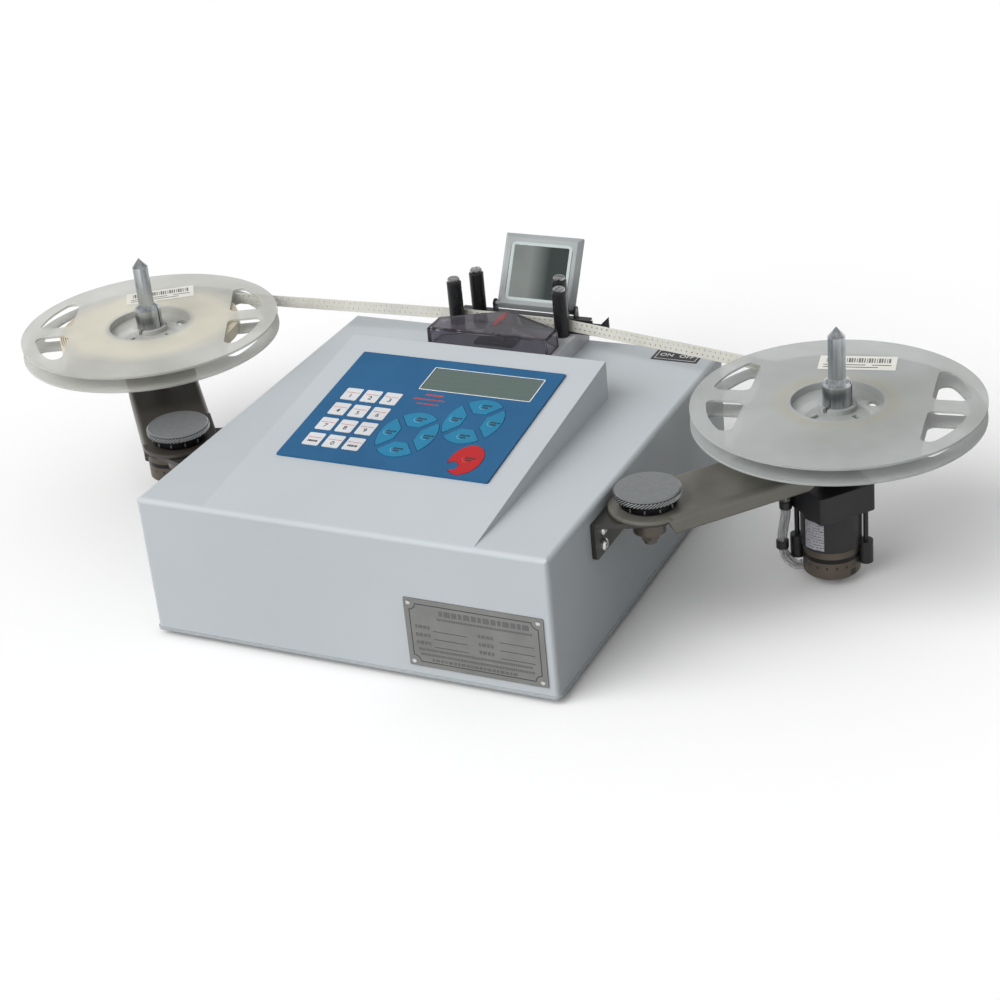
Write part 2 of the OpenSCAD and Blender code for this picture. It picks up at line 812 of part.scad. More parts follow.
module mirror_glass() {
    color("lightblue") on_mirror() translate([0, 0, mirror_t / 2 - glass_t - glass_sink])
        linear_extrude(glass_t) rounded_rect(mirror_w - 2 * mirror_rim, mirror_h - 2 * mirror_rim, 4);
}

// Arm brackets

function tangent_angle(out, half, r) = atan2(half, -out) - acos(r / norm([out, half]));

module bracket() {
    half = bracket_w / 2;
    a = tangent_angle(pivot_out, half, shelf_r);
    tip = [pivot_out + shelf_r * cos(a), shelf_r * sin(a)];
    difference() {
        translate([body_w / 2, pivot[1], 0]) {
            translate([0, 0, shelf_z - bracket_t]) linear_extrude(bracket_t) {
                polygon([[0, -half], [0, half], tip, [tip[0], -tip[1]]]);
                translate([pivot_out, 0]) circle(shelf_r);
            }
            translate([0, 0, shelf_z - bracket_leg / 2]) rotate([90, 0, 90]) linear_extrude(bracket_t)
                union() {
                    rounded_rect(bracket_w, bracket_leg, 3);
                    translate([-half, 0]) square([bracket_w, bracket_leg / 2]);
                }
        }
        translate([pivot[0], pivot[1], shelf_z - 20]) cylinder(r = stud_r + screw_gap, h = 40);
        at_bracket_screws() cylinder(r = screw_r + screw_gap, h = 20, center = true);
    }
}

module arm_brackets() {
    color("slategray") {
        bracket();
        mirrored_left() bracket();
    }
}

module pivot_stud() {
    bush_r = 10;
    bush_h = 12;
    nut_r = 6;
    nut_h = 5;
    under = shelf_z - bracket_t;
    top = web_top + slide_gap + collar_h + knob_h - 2.5;
    translate([pivot[0], pivot[1], 0]) {
        translate([0, 0, under - bush_h]) cylinder(r = bush_r, h = bush_h);
        translate([0, 0, under - bush_h - nut_h]) cylinder(r = nut_r, h = nut_h + eps, $fn = 6);
        translate([0, 0, under - bush_h - nut_h - 3])
            cylinder(r = stud_r, h = top - under + bush_h + nut_h + 3);
    }
}

module pivot_studs() {
    color("dimgray") {
        pivot_stud();
        mirrored_left() pivot_stud();
    }
}

// A dished knob over a thrust collar, both turning on the stud
module knob() {
    z = web_top + slide_gap;
    color("silver") translate([pivot[0], pivot[1], z]) {
        rotate_extrude() polygon([
            [stud_r + run_gap, collar_h], [knob_r - 1.5, collar_h], [knob_r, collar_h + 0.8],
            [knob_r, collar_h + knob_h - 0.8], [knob_r - 0.8, collar_h + knob_h],
            [0, collar_h + knob_h], [0, collar_h + knob_h - 2.2], [stud_r + run_gap, collar_h + knob_h - 2.2]
        ]);
        rotate_extrude() polygon([
            [stud_r + run_gap, 0], [knob_r - 3.5, 0], [knob_r - 2.5, 1], [knob_r - 2.5, collar_h],
            [stud_r + run_gap, collar_h]
        ]);
    }
}

module right_knob() { knob(); }
module left_knob() { mirrored_left() knob(); }

// Arms: a pressed channel with its web on top and a round end about the pivot

arm_end = gearbox_w / 2 + 2;
flange_end = arm_l - motor_offset - gearbox_w / 2 - 4;
rear_flange_start = shelf_r + 10;
front_flange_start = 0.5;

// A side flange from start to flange_end, its inner end cut slanting and its outer end rounded
module arm_flange(start) {
    l = flange_end - start;
    r = flange_h * 0.7;
    slant = flange_h * 0.35;
    translate([start, 0, web_top]) rotate([90, 0, 0]) linear_extrude(arm_t) difference() {
        translate([0, -flange_h]) square([l, flange_h]);
        difference() {
            translate([l - r, -flange_h - eps]) square([r + eps, r + eps]);
            translate([l - r, -flange_h + r]) circle(r);
        }
        polygon([[-eps, -flange_h - eps], [slant, -flange_h - eps], [-eps, -arm_t]]);
    }
}

// What the bend takes off the arm's upper edge at y = 0, on the side of smaller y
module bend_cut(start) {
    translate([start, 0, web_top]) rotate([90, 0, 90]) linear_extrude(flange_end - start) difference() {
        translate([-1, -bend_r]) square([bend_r + 1, bend_r + 1]);
        translate([bend_r, -bend_r]) circle(bend_r);
        translate([bend_r, -bend_r - 1]) square(bend_r + 2);
    }
}

module arm() {
    half = arm_w / 2;
    round = 10;
    on_arm() difference() {
        union() {
            translate([0, 0, web_z]) linear_extrude(arm_t) {
                circle(half);
                translate([0, -half]) square([arm_l + arm_end - round, arm_w]);
                translate([arm_l, -half + round]) square([arm_end, arm_w - 2 * round]);
                for (y = [-1, 1]) translate([arm_l + arm_end - round, y * (half - round)]) circle(round);
            }
            translate([0, -half + arm_t, 0]) arm_flange(front_flange_start);
            translate([0, half, 0]) arm_flange(rear_flange_start);
        }
        translate([0, -half, 0]) bend_cut(front_flange_start + 1);
        translate([0, half, 0]) mirror([0, 1, 0]) bend_cut(rear_flange_start + 1);
        translate([0, 0, web_z - 5]) cylinder(r = stud_r + run_gap, h = 20);
        translate([arm_l, 0, web_z - 5]) cylinder(r = shaft_r + 1, h = 20);
    }
}

module right_arm() { color("rosybrown") arm(); }
module left_arm() { color("rosybrown") mirrored_left() arm(); }

// Gear motors: a square gearbox with a round neck, a round body, a can and two long screws

motor_at = arm_l - motor_offset;
body_z = gearbox_z - gearbox_h - motor_body_h;
lug_r = 4.5;
lug_h = 15;
lug_z = body_z - 13;

module gearbox() {
    on_arm() difference() {
        union() {
            translate([motor_at, 0, 0]) {
                translate([0, 0, gearbox_z - gearbox_h]) linear_extrude(gearbox_h)
                    rounded_rect(gearbox_w, gearbox_w, 3);
                translate([0, 0, body_z]) cylinder(r = motor_body_r, h = motor_body_h + eps);
                for (a = [-45, 135]) rotate([0, 0, a])
                    translate([motor_body_r + 2.5, 0, lug_z]) {
                        cylinder(r = lug_r, h = lug_h);
                        translate([0, 0, lug_h]) cylinder(r = 1.6, h = gearbox_z - lug_z - lug_h - 2);
                        translate([-1.5, 0, lug_h * 0.75]) cube([6, 5, lug_h / 2], center = true);
                    }
            }
            translate([arm_l, 0, gearbox_z - eps]) cylinder(r = neck_r, h = neck_h + eps);
        }
        translate([arm_l, 0, gearbox_z - 8]) cylinder(r = shaft_r + run_gap, h = neck_h + 20);
        translate([motor_at, 0, lug_z - 1]) cylinder(r = can_r + 0.15, h = body_z - lug_z + 1);
    }
}

module right_gearbox() { color("black") gearbox(); }
module left_gearbox() { color("black") mirrored_left() gearbox(); }

module motor() {
    z = body_z - can_h;
    on_arm() translate([motor_at, 0, z]) rotate_extrude() polygon([
        [0, 0], [can_r - 2, 0], [can_r, 2], [can_r, can_h], [0, can_h]
    ]);
}

module right_motor() { color("sienna") motor(); }
module left_motor() { color("sienna") mirrored_left() motor(); }

// The right motor's lead, from the can up to a plug under the arm

lead_r = 2;
lead_sides = 8;
lead_route = [
    [110.5, 9.5, 9], [107, 11.5, 9], [104, 14, 12], [101.5, 15.5, 17], [100.5, 16, 23], [100.5, 16, 30],
    [101.5, 15.5, 37], [102.5, 15, 44], [102.5, 14.5, 51], [102, 14, 58], [100.5, 13.5, 66], [98, 13, 74],
    [94, 12, 81], [88, 11, 85], [81, 10, 86], [72, 9, 86], [62, 8, 86], [54, 8, 86]
];

function unit(v) = v / norm(v);
function lead_axis(i) = unit(lead_route[min(i + 1, len(lead_route) - 1)] - lead_route[max(i - 1, 0)]);
function lead_ring(i) = let (
    t = lead_axis(i), side = unit(cross([0, 1, 0], t)), up = cross(t, side)
) [for (k = [0:lead_sides - 1]) let (a = 360 * k / lead_sides)
    lead_route[i] + lead_r * (cos(a) * side + sin(a) * up)];

module lead_tube() {
    n = len(lead_route);
    s = lead_sides;
    polyhedron(
        points = [for (i = [0:n - 1]) each lead_ring(i)],
        faces = concat(
            [for (i = [0:n - 2], k = [0:s - 1]) [i * s + k, (i + 1) * s + k, i * s + (k + 1) % s]],
            [for (i = [0:n - 2], k = [0:s - 1])
                [i * s + (k + 1) % s, (i + 1) * s + k, (i + 1) * s + (k + 1) % s]],
            [for (k = [1:s - 2]) [0, k, k + 1]],
            [for (k = [1:s - 2]) [(n - 1) * s, (n - 1) * s + k + 1, (n - 1) * s + k]]
        )
    );
}

module right_motor_lead() {
    plug = [12, 10, 6];
    end = lead_route[len(lead_route) - 1];
    color("lightgray") on_arm() {
        lead_tube();
        translate([end[0] - plug[0] + 1, end[1] - plug[1] / 2, web_z - plug[2]]) cube(plug);
    }
}

// Spindles: a turned stem on a split collet, with the seat that the reel lies on

module spindle() {
    collet_r = arbor_r - screw_gap;
    cone_z = reel_z + spindle_h - stem_r * 1.2;
    shoulder_z = cone_z - stem_l;
    collet_step = collet_r - stem_r;
    slit = 1.2;
    on_spindle() difference() {
        rotate_extrude() polygon([
            [0, gearbox_z - 6], [shaft_r, gearbox_z - 6],
            [shaft_r, reel_z - seat_t], [seat_r, reel_z - seat_t],
            [seat_r, reel_z], [collet_r, reel_z], [collet_r, shoulder_z - collet_shoulder],
            [collet_r - collet_step * 0.3, shoulder_z - collet_shoulder * 0.5],
            [stem_r + collet_step * 0.2, shoulder_z - collet_shoulder * 0.15], [stem_r, shoulder_z],
            [stem_r, cone_z], [0, reel_z + spindle_h]
        ]);
        translate([-collet_r - 1, -slit / 2, reel_z + 4])
            cube([2 * collet_r + 2, slit, shoulder_z - reel_z - 4 - collet_shoulder / 2]);
    }
}

module right_spindle() { color("silver") spindle(); }
module left_spindle() { color("silver") mirrored_left() spindle(); }

// Reels: two windowed flanges on a cup-shaped hub

// A pair of windows at angle zero: a disc's segment with rounded corners, split by a bar
module window_pair() {
    round = 5;
    offset(r = round, $fn = 32) offset(delta = -round) difference() {
        circle(window_out, $fn = 96);
        translate([window_in - 2 * window_out, -window_out]) square(2 * window_out);
        translate([0, -window_bar / 2]) square([window_out, window_bar]);
    }
}

module reel_flange() {
    linear_extrude(reel_flange_t) difference() {
        circle(reel_d / 2, $fn = 128);
        for (a = [0, 180]) rotate(a) window_pair();
    }
}

module reel(turn) {
    upper = reel_flange_t + reel_gap;
    full = upper + reel_flange_t;
    cup_r = hub_r - hub_wall;
    boss_r = arbor_r + 2.6;
    web_low = (full - hub_web) / 2;
    claw = 3;
    on_spindle() translate([0, 0, reel_z]) rotate([0, 0, turn]) difference() {
        union() {
            difference() {
                union() {
                    reel_flange();
                    translate([0, 0, upper]) reel_flange();
                    translate([0, 0, reel_flange_t - eps]) cylinder(r = hub_r, h = reel_gap + 2 * eps);
                }
                translate([0, 0, -1]) cylinder(r = cup_r, h = full + 2);
            }
            translate([0, 0, web_low]) cylinder(r = cup_r + eps, h = hub_web);
            cylinder(r = boss_r, h = web_low + hub_web + claw);
        }
        translate([0, 0, -1]) cylinder(r = arbor_r, h = full + 2);
        rotate(21) translate([cup_r - 6, 0, -1]) cylinder(r = 3.5, h = full);
        for (a = [233, 318]) rotate(a) translate([cup_r - 13, -1.5, -1]) cube([11, 3, full]);
        for (a = [0, 120, 240]) rotate(a) translate([arbor_r - 1, -1.5, web_low + hub_web])
            cube([5, 3, claw + 1]);
    }
}

module right_reel() { color("ivory") reel(right_reel_turn); }
module left_reel() { color("ivory") translate([-2 * spindle_at[0], 0, 0]) reel(left_reel_turn); }

// Tape wound on a hub: a plain core under the last turns, which are drawn as one spiral strip

wind_pitch = tape_t + wind_gap;
wind_steps = 36;

function spiral(r0, turns) = [for (i = [0:turns * wind_steps])
    let (a = 360 * i / wind_steps) (r0 + wind_pitch * i / wind_steps) * [cos(a), sin(a)]];
function spiral_start(outer_r) = outer_r - tape_t - wind_turns * wind_pitch;

module winding(outer_r) {
    start = spiral_start(outer_r);
    inner = spiral(start, wind_turns);
    outer = spiral(start + tape_t, wind_turns);
    on_spindle() translate([0, 0, tape_z]) {
        linear_extrude(tape_w) polygon(concat(outer, reversed(inner)));
        if (start - wind_gap > hub_r + slide_gap + 1) linear_extrude(tape_w) difference() {
            circle(start - wind_gap);
            circle(hub_r + screw_gap);
        }
    }
}

echo(least_winding_gap = min([for (i = [0:(wind_turns - 1) * wind_steps])
    norm(spiral(hub_r, wind_turns)[i + wind_steps] - spiral(hub_r + tape_t, wind_turns)[i])]));

module right_winding() { color("white") winding(right_wind_r); }
module left_winding() { color("antiquewhite") mirrored_left() winding(left_wind_r); }

// The run of tape between the reels, round the rear of the two front rollers

// Normal of the line that touches the rear of two circles, going from the left one to the right
function rear_normal(c1, r1, c2, r2) = let (
    u = unit(c2 - c1), v = [-u[1], u[0]], s = (r1 - r2) / norm(c2 - c1)
) u * s + v * sqrt(1 - s * s);

module carrier_tape() {
    lift = slide_gap + tape_t / 2;
    spots = [
        [[-spindle_at[0], spindle_at[1]], left_wind_r + lift],
        [[head_x - front_roller_x, at_d(front_roller_d)], roller_r + lift],
        [[head_x + front_roller_x, at_d(front_roller_d)], roller_r + lift],
        [spindle_at, right_wind_r + lift]
    ];
    normals = [for (i = [0:2]) rear_normal(spots[i][0], spots[i][1], spots[i + 1][0], spots[i + 1][1])];
    edge = function(side) [for (i = [0:2], j = [0, 1])
        spots[i + j][0] + (spots[i + j][1] + side * tape_t / 2) * normals[i]];
    color("ivory") translate([0, 0, tape_z]) linear_extrude(tape_w)
        polygon(concat(edge(1), reversed(edge(-1))));
}

base_plate();
housing_cover();
rubber_feet();
pan_screws();
keypad_overlay();
lcd_module();
main_board();
nameplate();
power_inlet();
power_rocker();
head_block();
head_cover();
photo_sensor();
tape_rail();
post_screws();
guide_roller(0);  // roller_front_left
guide_roller(1);  // roller_front_right
guide_roller(2);  // roller_rear_left
guide_roller(3);  // roller_rear_right
mirror_frame();
mirror_glass();
arm_brackets();
pivot_studs();
right_knob();
left_knob();
right_arm();
left_arm();
right_gearbox();
left_gearbox();
right_motor();
left_motor();
right_motor_lead();
right_spindle();
left_spindle();
right_reel();
left_reel();
right_winding();
left_winding();
carrier_tape();
number_key(0, 0);  // key_1
number_key(1, 0);  // key_2
number_key(2, 0);  // key_3
number_key(0, 1);  // key_4
number_key(1, 1);  // key_5
number_key(2, 1);  // key_6
number_key(0, 2);  // key_7
number_key(1, 2);  // key_8
number_key(2, 2);  // key_9
number_key(0, 3);  // key_function
number_key(1, 3);  // key_0
number_key(2, 3);  // key_enter
petal_key(left_pad_at, 90);  // left_pad_rear
petal_key(left_pad_at, 270);  // left_pad_front
petal_key(left_pad_at, 180);  // left_pad_left
petal_key(left_pad_at, 0);  // left_pad_right
petal_key(right_pad_at, 90);  // right_pad_rear
petal_key(right_pad_at, 270);  // right_pad_front
petal_key(right_pad_at, 180);  // right_pad_left
petal_key(right_pad_at, 0);  // right_pad_right
key_stop();
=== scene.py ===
"""Looks of the component reel counter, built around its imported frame. Metres, +X right, +Y rear, +Z up."""

import json
import math

import bmesh
import bpy
from mathutils import Matrix, Vector


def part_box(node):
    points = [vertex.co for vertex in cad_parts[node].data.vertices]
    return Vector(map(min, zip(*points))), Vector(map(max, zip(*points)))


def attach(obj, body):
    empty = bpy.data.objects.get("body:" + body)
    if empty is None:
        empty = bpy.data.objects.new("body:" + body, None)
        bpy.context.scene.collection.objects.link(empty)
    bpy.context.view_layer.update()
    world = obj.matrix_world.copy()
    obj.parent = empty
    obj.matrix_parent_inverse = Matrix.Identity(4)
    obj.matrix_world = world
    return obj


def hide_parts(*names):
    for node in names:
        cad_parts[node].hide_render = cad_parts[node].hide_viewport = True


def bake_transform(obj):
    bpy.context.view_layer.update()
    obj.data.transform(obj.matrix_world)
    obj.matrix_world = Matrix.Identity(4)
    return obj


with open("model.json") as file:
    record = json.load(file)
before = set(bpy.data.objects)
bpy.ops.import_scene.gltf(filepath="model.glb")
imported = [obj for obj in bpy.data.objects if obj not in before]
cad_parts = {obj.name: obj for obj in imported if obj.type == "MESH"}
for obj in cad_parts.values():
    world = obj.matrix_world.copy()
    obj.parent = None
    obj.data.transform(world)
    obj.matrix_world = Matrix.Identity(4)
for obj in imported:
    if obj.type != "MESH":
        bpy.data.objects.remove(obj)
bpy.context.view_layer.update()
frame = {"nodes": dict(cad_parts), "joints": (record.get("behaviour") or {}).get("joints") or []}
nodes = frame["nodes"]
joint_at = {j["name"]: Vector(j["pos_m"]) for j in frame["joints"] if "pos_m" in j}

MM = 0.001
PHOTO_PX = 1000
SIDES = ("right", "left")
WHITE = (1.0, 1.0, 1.0)
UP = (0, 0, 1)
FRONT = (0, -1, 0)
SQUARE = ((-1, -1), (1, -1), (1, 1), (-1, 1))
# Colour sockets of a Mix node: two inputs and the output
MIX_A, MIX_B, MIX_OUT = 6, 7, 2

# Camera: the photograph's viewing angle
CAMERA_AT = (0.60715, -1.10884, 0.69770)
CAMERA_YAW = math.radians(27.506)
CAMERA_PITCH = math.radians(27.821)
CAMERA_ROLL = math.radians(-5.646)
FOCAL_PX = 2180.2
SENSOR_MM = 36.0


def make_camera():
    """A plain camera without shift, rolled as the photograph is."""
    forward = Vector((
        -math.sin(CAMERA_YAW) * math.cos(CAMERA_PITCH),
        math.cos(CAMERA_YAW) * math.cos(CAMERA_PITCH),
        -math.sin(CAMERA_PITCH),
    ))
    level = Vector((math.cos(CAMERA_YAW), math.sin(CAMERA_YAW), 0))
    above = level.cross(forward)
    right = math.cos(CAMERA_ROLL) * level + math.sin(CAMERA_ROLL) * above
    up = -math.sin(CAMERA_ROLL) * level + math.cos(CAMERA_ROLL) * above
    data = bpy.data.cameras.new("camera")
    data.sensor_width = SENSOR_MM
    data.lens = FOCAL_PX / PHOTO_PX * SENSOR_MM
    camera = bpy.data.objects.new("camera", data)
    bpy.context.scene.collection.objects.link(camera)
    rotation = Matrix((right, up, -forward)).transposed()
    camera.matrix_world = Matrix.Translation(CAMERA_AT) @ rotation.to_4x4()
    bpy.context.scene.camera = camera


make_camera()

# Stage: a pale floor, a white wall, a soft sky and one broad lamp from the upper left front
FLOOR_HALF = 8.0
FLOOR_SEEN = 0.96
FLOOR_BOUNCE = 0.25
WALL_R = 7.8
WALL_HIGH = 3.2
WALL_SIDES = 64
SKY_RANGE = (-0.2, 0.9)
SKY_LOW = 0.42
SKY_HIGH = 0.55
SUN_STRENGTH = 2.9
SUN_ANGLE = math.radians(60)
SUN_AIM = (0.45, 0.70, -0.60)


def stage_mesh(name, verts, faces, material):
    """A mesh of the surroundings, no part of the object."""
    mesh = bpy.data.meshes.new(name)
    mesh.from_pydata(verts, [], faces)
    mesh.materials.append(material)
    made = bpy.data.objects.new(name, mesh)
    bpy.context.scene.collection.objects.link(made)
    return made


def make_stage():
    scene = bpy.context.scene
    scene.view_settings.view_transform = "Standard"
    corners = [(x * FLOOR_HALF, y * FLOOR_HALF, 0) for x, y in SQUARE]
    stage_mesh("floor", corners, [(0, 1, 2, 3)], floor_material())
    make_wall()
    world = bpy.data.worlds.new("sky")
    scene.world = world
    world.use_nodes = True
    tree = world.node_tree
    background = tree.nodes["Background"]
    background.inputs["Color"].default_value = (1, 1, 1, 1)
    place = tree.nodes.new("ShaderNodeTexCoord")
    split = tree.nodes.new("ShaderNodeSeparateXYZ")
    tree.links.new(place.outputs["Generated"], split.inputs[0])
    grade = tree.nodes.new("ShaderNodeMapRange")
    for socket, value in zip(grade.inputs[1:5], (*SKY_RANGE, SKY_LOW, SKY_HIGH)):
        socket.default_value = value
    tree.links.new(split.outputs["Z"], grade.inputs["Value"])
    tree.links.new(grade.outputs["Result"], background.inputs["Strength"])
    sun = bpy.data.lights.new("window_light", "SUN")
    sun.energy = SUN_STRENGTH
    sun.angle = SUN_ANGLE
    lamp = bpy.data.objects.new("window_light", sun)
    lamp.rotation_euler = Vector(SUN_AIM).to_track_quat("-Z", "Y").to_euler()
    lamp.visible_glossy = False
    scene.collection.objects.link(lamp)


def make_wall():
    """A white wall round the floor; camera, metal and glass see it, and it throws no light or shadow."""
    loops = [[(x, y, z) for x, y in circle_points(WALL_R, WALL_SIDES)] for z in (WALL_HIGH, 0)]
    glow = {"Emission_Color": (1, 1, 1, 1), "Emission_Strength": 1.0}
    s = Surface("wall_paper", Base_Color=(0, 0, 0, 1), Specular_IOR_Level=0.0, **glow)
    wall = stage_mesh("wall", *skin(loops), s.material)
    wall.visible_diffuse = False
    wall.visible_shadow = False


def floor_material():
    """Paper that is white where it is seen, also in metal and glass, and throws little light on the walls."""
    s = Surface("floor_paper", Roughness=0.9, Specular_IOR_Level=0.0)
    ray = s.node("ShaderNodeLightPath")
    seen = ray.outputs["Is Camera Ray"]
    for kind in ("Is Glossy Ray", "Is Transmission Ray"):
        seen = s.math("MAXIMUM", seen, ray.outputs[kind])
    s.colour(s.mix(seen, shade(WHITE, FLOOR_BOUNCE), shade(WHITE, FLOOR_SEEN)))
    return s.material


# Materials: Principled shaders whose colour, roughness and bump are laid out in the part's own frame
EDGE_FLAT = 0.99
EDGE_SHARP = 0.85
SOFT_SAMPLES = 4


class Surface:
    """Builds one material; every pattern is laid out in the object's own coordinates."""

    def __init__(self, name, **constants):
        self.material = bpy.data.materials.new(name)
        self.material.use_nodes = True
        self.tree = self.material.node_tree
        self.shader = self.tree.nodes["Principled BSDF"]
        self.place = self.node("ShaderNodeTexCoord").outputs["Object"]
        for socket, value in constants.items():
            self.shader.inputs[socket.replace("_", " ")].default_value = value

    def node(self, kind, **settings):
        made = self.tree.nodes.new(kind)
        for key, value in settings.items():
            setattr(made, key, value)
        return made

    def link(self, source, target):
        self.tree.links.new(source, target)

    def math(self, operation, a, b=0.0, clamp=False):
        made = self.node("ShaderNodeMath", operation=operation, use_clamp=clamp)
        for socket, value in zip(made.inputs, (a, b)):
            if isinstance(value, (int, float)):
                socket.default_value = value
            else:
                self.link(value, socket)
        return made.outputs[0]

    def noise(self, scale, detail=3.0, stretch=(1, 1, 1), turn=0.0):
        """Noise with scale features a metre; stretch squeezes it along the axes, after a turn about Z."""
        spin = self.node("ShaderNodeMapping", vector_type="POINT")
        spin.inputs["Rotation"].default_value = (0, 0, turn)
        self.link(self.place, spin.inputs["Vector"])
        scaled = self.node("ShaderNodeVectorMath", operation="MULTIPLY")
        scaled.inputs[1].default_value = stretch
        self.link(spin.outputs["Vector"], scaled.inputs[0])
        made = self.node("ShaderNodeTexNoise")
        made.inputs["Scale"].default_value = scale
        made.inputs["Detail"].default_value = detail
        self.link(scaled.outputs[0], made.inputs["Vector"])
        return made.outputs["Fac"]

    def axis(self, name, centre=(0, 0, 0)):
        """One coordinate of the place, or R, the distance from a vertical axis through centre."""
        moved = self.node("ShaderNodeVectorMath", operation="SUBTRACT")
        moved.inputs[1].default_value = centre
        self.link(self.place, moved.inputs[0])
        split = self.node("ShaderNodeSeparateXYZ")
        self.link(moved.outputs[0], split.inputs[0])
        if name != "R":
            return split.outputs[name]
        squares = [self.math("MULTIPLY", split.outputs[a], split.outputs[a]) for a in "XY"]
        return self.math("SQRT", self.math("ADD", *squares))

    def spread(self, fac, low, high, out_low=0.0, out_high=1.0):
        """The range from low to high spread over another, cut off at its ends."""
        made = self.node("ShaderNodeMapRange")
        for socket, value in zip(made.inputs[1:5], (low, high, out_low, out_high)):
            socket.default_value = value
        self.link(fac, made.inputs[0])
        return made.outputs[0]

    def mix(self, fac, a, b):
        """Colour a where fac is 0 and b where it is 1."""
        made = self.node("ShaderNodeMix", data_type="RGBA")
        self.link(fac, made.inputs["Factor"])
        for socket, value in ((made.inputs[MIX_A], a), (made.inputs[MIX_B], b)):
            if isinstance(value, tuple):
                socket.default_value = (*value, 1)
            else:
                self.link(value, socket)
        return made.outputs[MIX_OUT]

    def multiply(self, a, b):
        """Two colours multiplied."""
        made = self.node("ShaderNodeMix", data_type="RGBA", blend_type="MULTIPLY")
        made.inputs["Factor"].default_value = 1.0
        self.link(a, made.inputs[MIX_A])
        self.link(b, made.inputs[MIX_B])
        return made.outputs[MIX_OUT]

    def soft(self, radius):
        """The normal with edges rounded to a radius."""
        made = self.node("ShaderNodeBevel", samples=SOFT_SAMPLES)
        made.inputs["Radius"].default_value = radius
        return made.outputs[0]

    def edge(self, radius):
        """1 along sharp edges within radius of them, 0 on flat faces."""
        true = self.node("ShaderNodeNewGeometry")
        dot = self.node("ShaderNodeVectorMath", operation="DOT_PRODUCT")
        self.link(self.soft(radius), dot.inputs[0])
        self.link(true.outputs["Normal"], dot.inputs[1])
        return self.spread(dot.outputs["Value"], EDGE_FLAT, EDGE_SHARP)

    def colour(self, socket):
        self.link(socket, self.shader.inputs["Base Color"])

    def rough(self, socket):
        self.link(socket, self.shader.inputs["Roughness"])

    def worn(self, scale, low, high, share=(0.3, 0.7)):
        """Roughness that wanders from low to high."""
        self.rough(self.spread(self.noise(scale), *share, low, high))

    def bump(self, height, distance, strength=1.0, round_edges=0.0):
        made = self.node("ShaderNodeBump")
        made.inputs["Distance"].default_value = distance
        made.inputs["Strength"].default_value = strength
        self.link(height, made.inputs["Height"])
        if round_edges:
            self.link(self.soft(round_edges), made.inputs["Normal"])
        self.link(made.outputs[0], self.shader.inputs["Normal"])


def shade(colour, factor):
    return tuple(c * factor for c in colour)


def painted(name, colour, rough=0.45, peel=900.0, wear=1.25, round_edges=0.0006):
    """Powder coat: fine orange peel, slow tone changes, lighter rubbed edges."""
    s = Surface(name, Specular_IOR_Level=0.4)
    tone = s.mix(s.spread(s.noise(6), 0.35, 0.65), shade(colour, 0.965), shade(colour, 1.02))
    rubbed = s.math("MULTIPLY", s.edge(round_edges), s.spread(s.noise(160), 0.4, 0.7), clamp=True)
    s.colour(s.mix(rubbed, tone, shade(colour, wear)))
    s.worn(40, rough - 0.05, rough + 0.07)
    s.bump(s.noise(peel, 2), 0.00006, 0.35, round_edges)
    return s.material


def brushed(name, colour, rough=0.3, turn=0.0, stretch=(4, 260, 260), metallic=1.0, bend=0.0004,
            contrast=0.04):
    """Drawn or rolled metal: streaks by stretch, stains, bright edges, bends of radius bend."""
    s = Surface(name, Metallic=metallic)
    streak = s.spread(s.noise(3.0, 4, stretch, turn), 0.3, 0.7)
    stain = s.spread(s.noise(45, 5), 0.35, 0.7)
    tone = s.mix(stain, shade(colour, 1.05), shade(colour, 0.9))
    grain = s.mix(streak, shade(WHITE, 1 - contrast), shade(WHITE, 1 + contrast))
    tone = s.multiply(tone, grain)
    s.colour(s.mix(s.edge(0.0005), tone, shade(colour, 1.3)))
    s.rough(s.spread(streak, 0.0, 1.0, rough - 0.04, rough + 0.04))
    s.bump(streak, 0.00002, 0.15, bend)
    return s.material


def moulded(name, colour, rough=0.4, grain=1400.0, depth=0.00004, **constants):
    """Moulded plastic: fine grain, slow tone changes, softened edges."""
    s = Surface(name, **constants)
    s.colour(s.mix(s.spread(s.noise(30), 0.35, 0.65), shade(colour, 0.94), shade(colour, 1.05)))
    s.worn(70, rough - 0.05, rough + 0.06)
    s.bump(s.noise(grain, 2), depth, 0.4, 0.0003)
    return s.material


def assign(material, *names):
    """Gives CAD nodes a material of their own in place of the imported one."""
    for name in names:
        mesh = nodes[name].data
        mesh.materials.clear()
        mesh.materials.append(material)


# Mesh pieces

def face_outward(mesh):
    """Turns every face of a closed mesh to its outside."""
    shape = bmesh.new()
    shape.from_mesh(mesh)
    bmesh.ops.recalc_face_normals(shape, faces=shape.faces)
    shape.to_mesh(mesh)
    shape.free()
    mesh.update()


def piece(name, verts, faces, material, body, smooth=False, slot=None):
    """A mesh in the row frame that rides on a body."""
    mesh = bpy.data.meshes.new(name)
    mesh.from_pydata([tuple(v) for v in verts], [], faces)
    mesh.validate()
    face_outward(mesh)
    if smooth:
        mesh.shade_smooth()
    mesh.materials.append(material)
    made = bpy.data.objects.new(name, mesh)
    bpy.context.scene.collection.objects.link(made)
    if body:
        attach(made, body)
    return made


def skin(loops, closed=False, capped=False):
    """Vertices and faces between loops of as many points; closed goes back to the first loop."""
    n = len(loops[0])
    verts = [p for loop in loops for p in loop]
    faces = []
    for k in range(len(loops) if closed else len(loops) - 1):
        a, b = k * n, (k + 1) % len(loops) * n
        faces += [(a + i, a + (i + 1) % n, b + (i + 1) % n, b + i) for i in range(n)]
    if capped:
        last = len(verts) - n
        faces += [tuple(range(n - 1, -1, -1)), tuple(range(last, last + n))]
    return verts, faces


def raised(outline, z, place):
    """An outline at the height z of a place."""
    return [place @ Vector((x, y, z)) for x, y in outline]


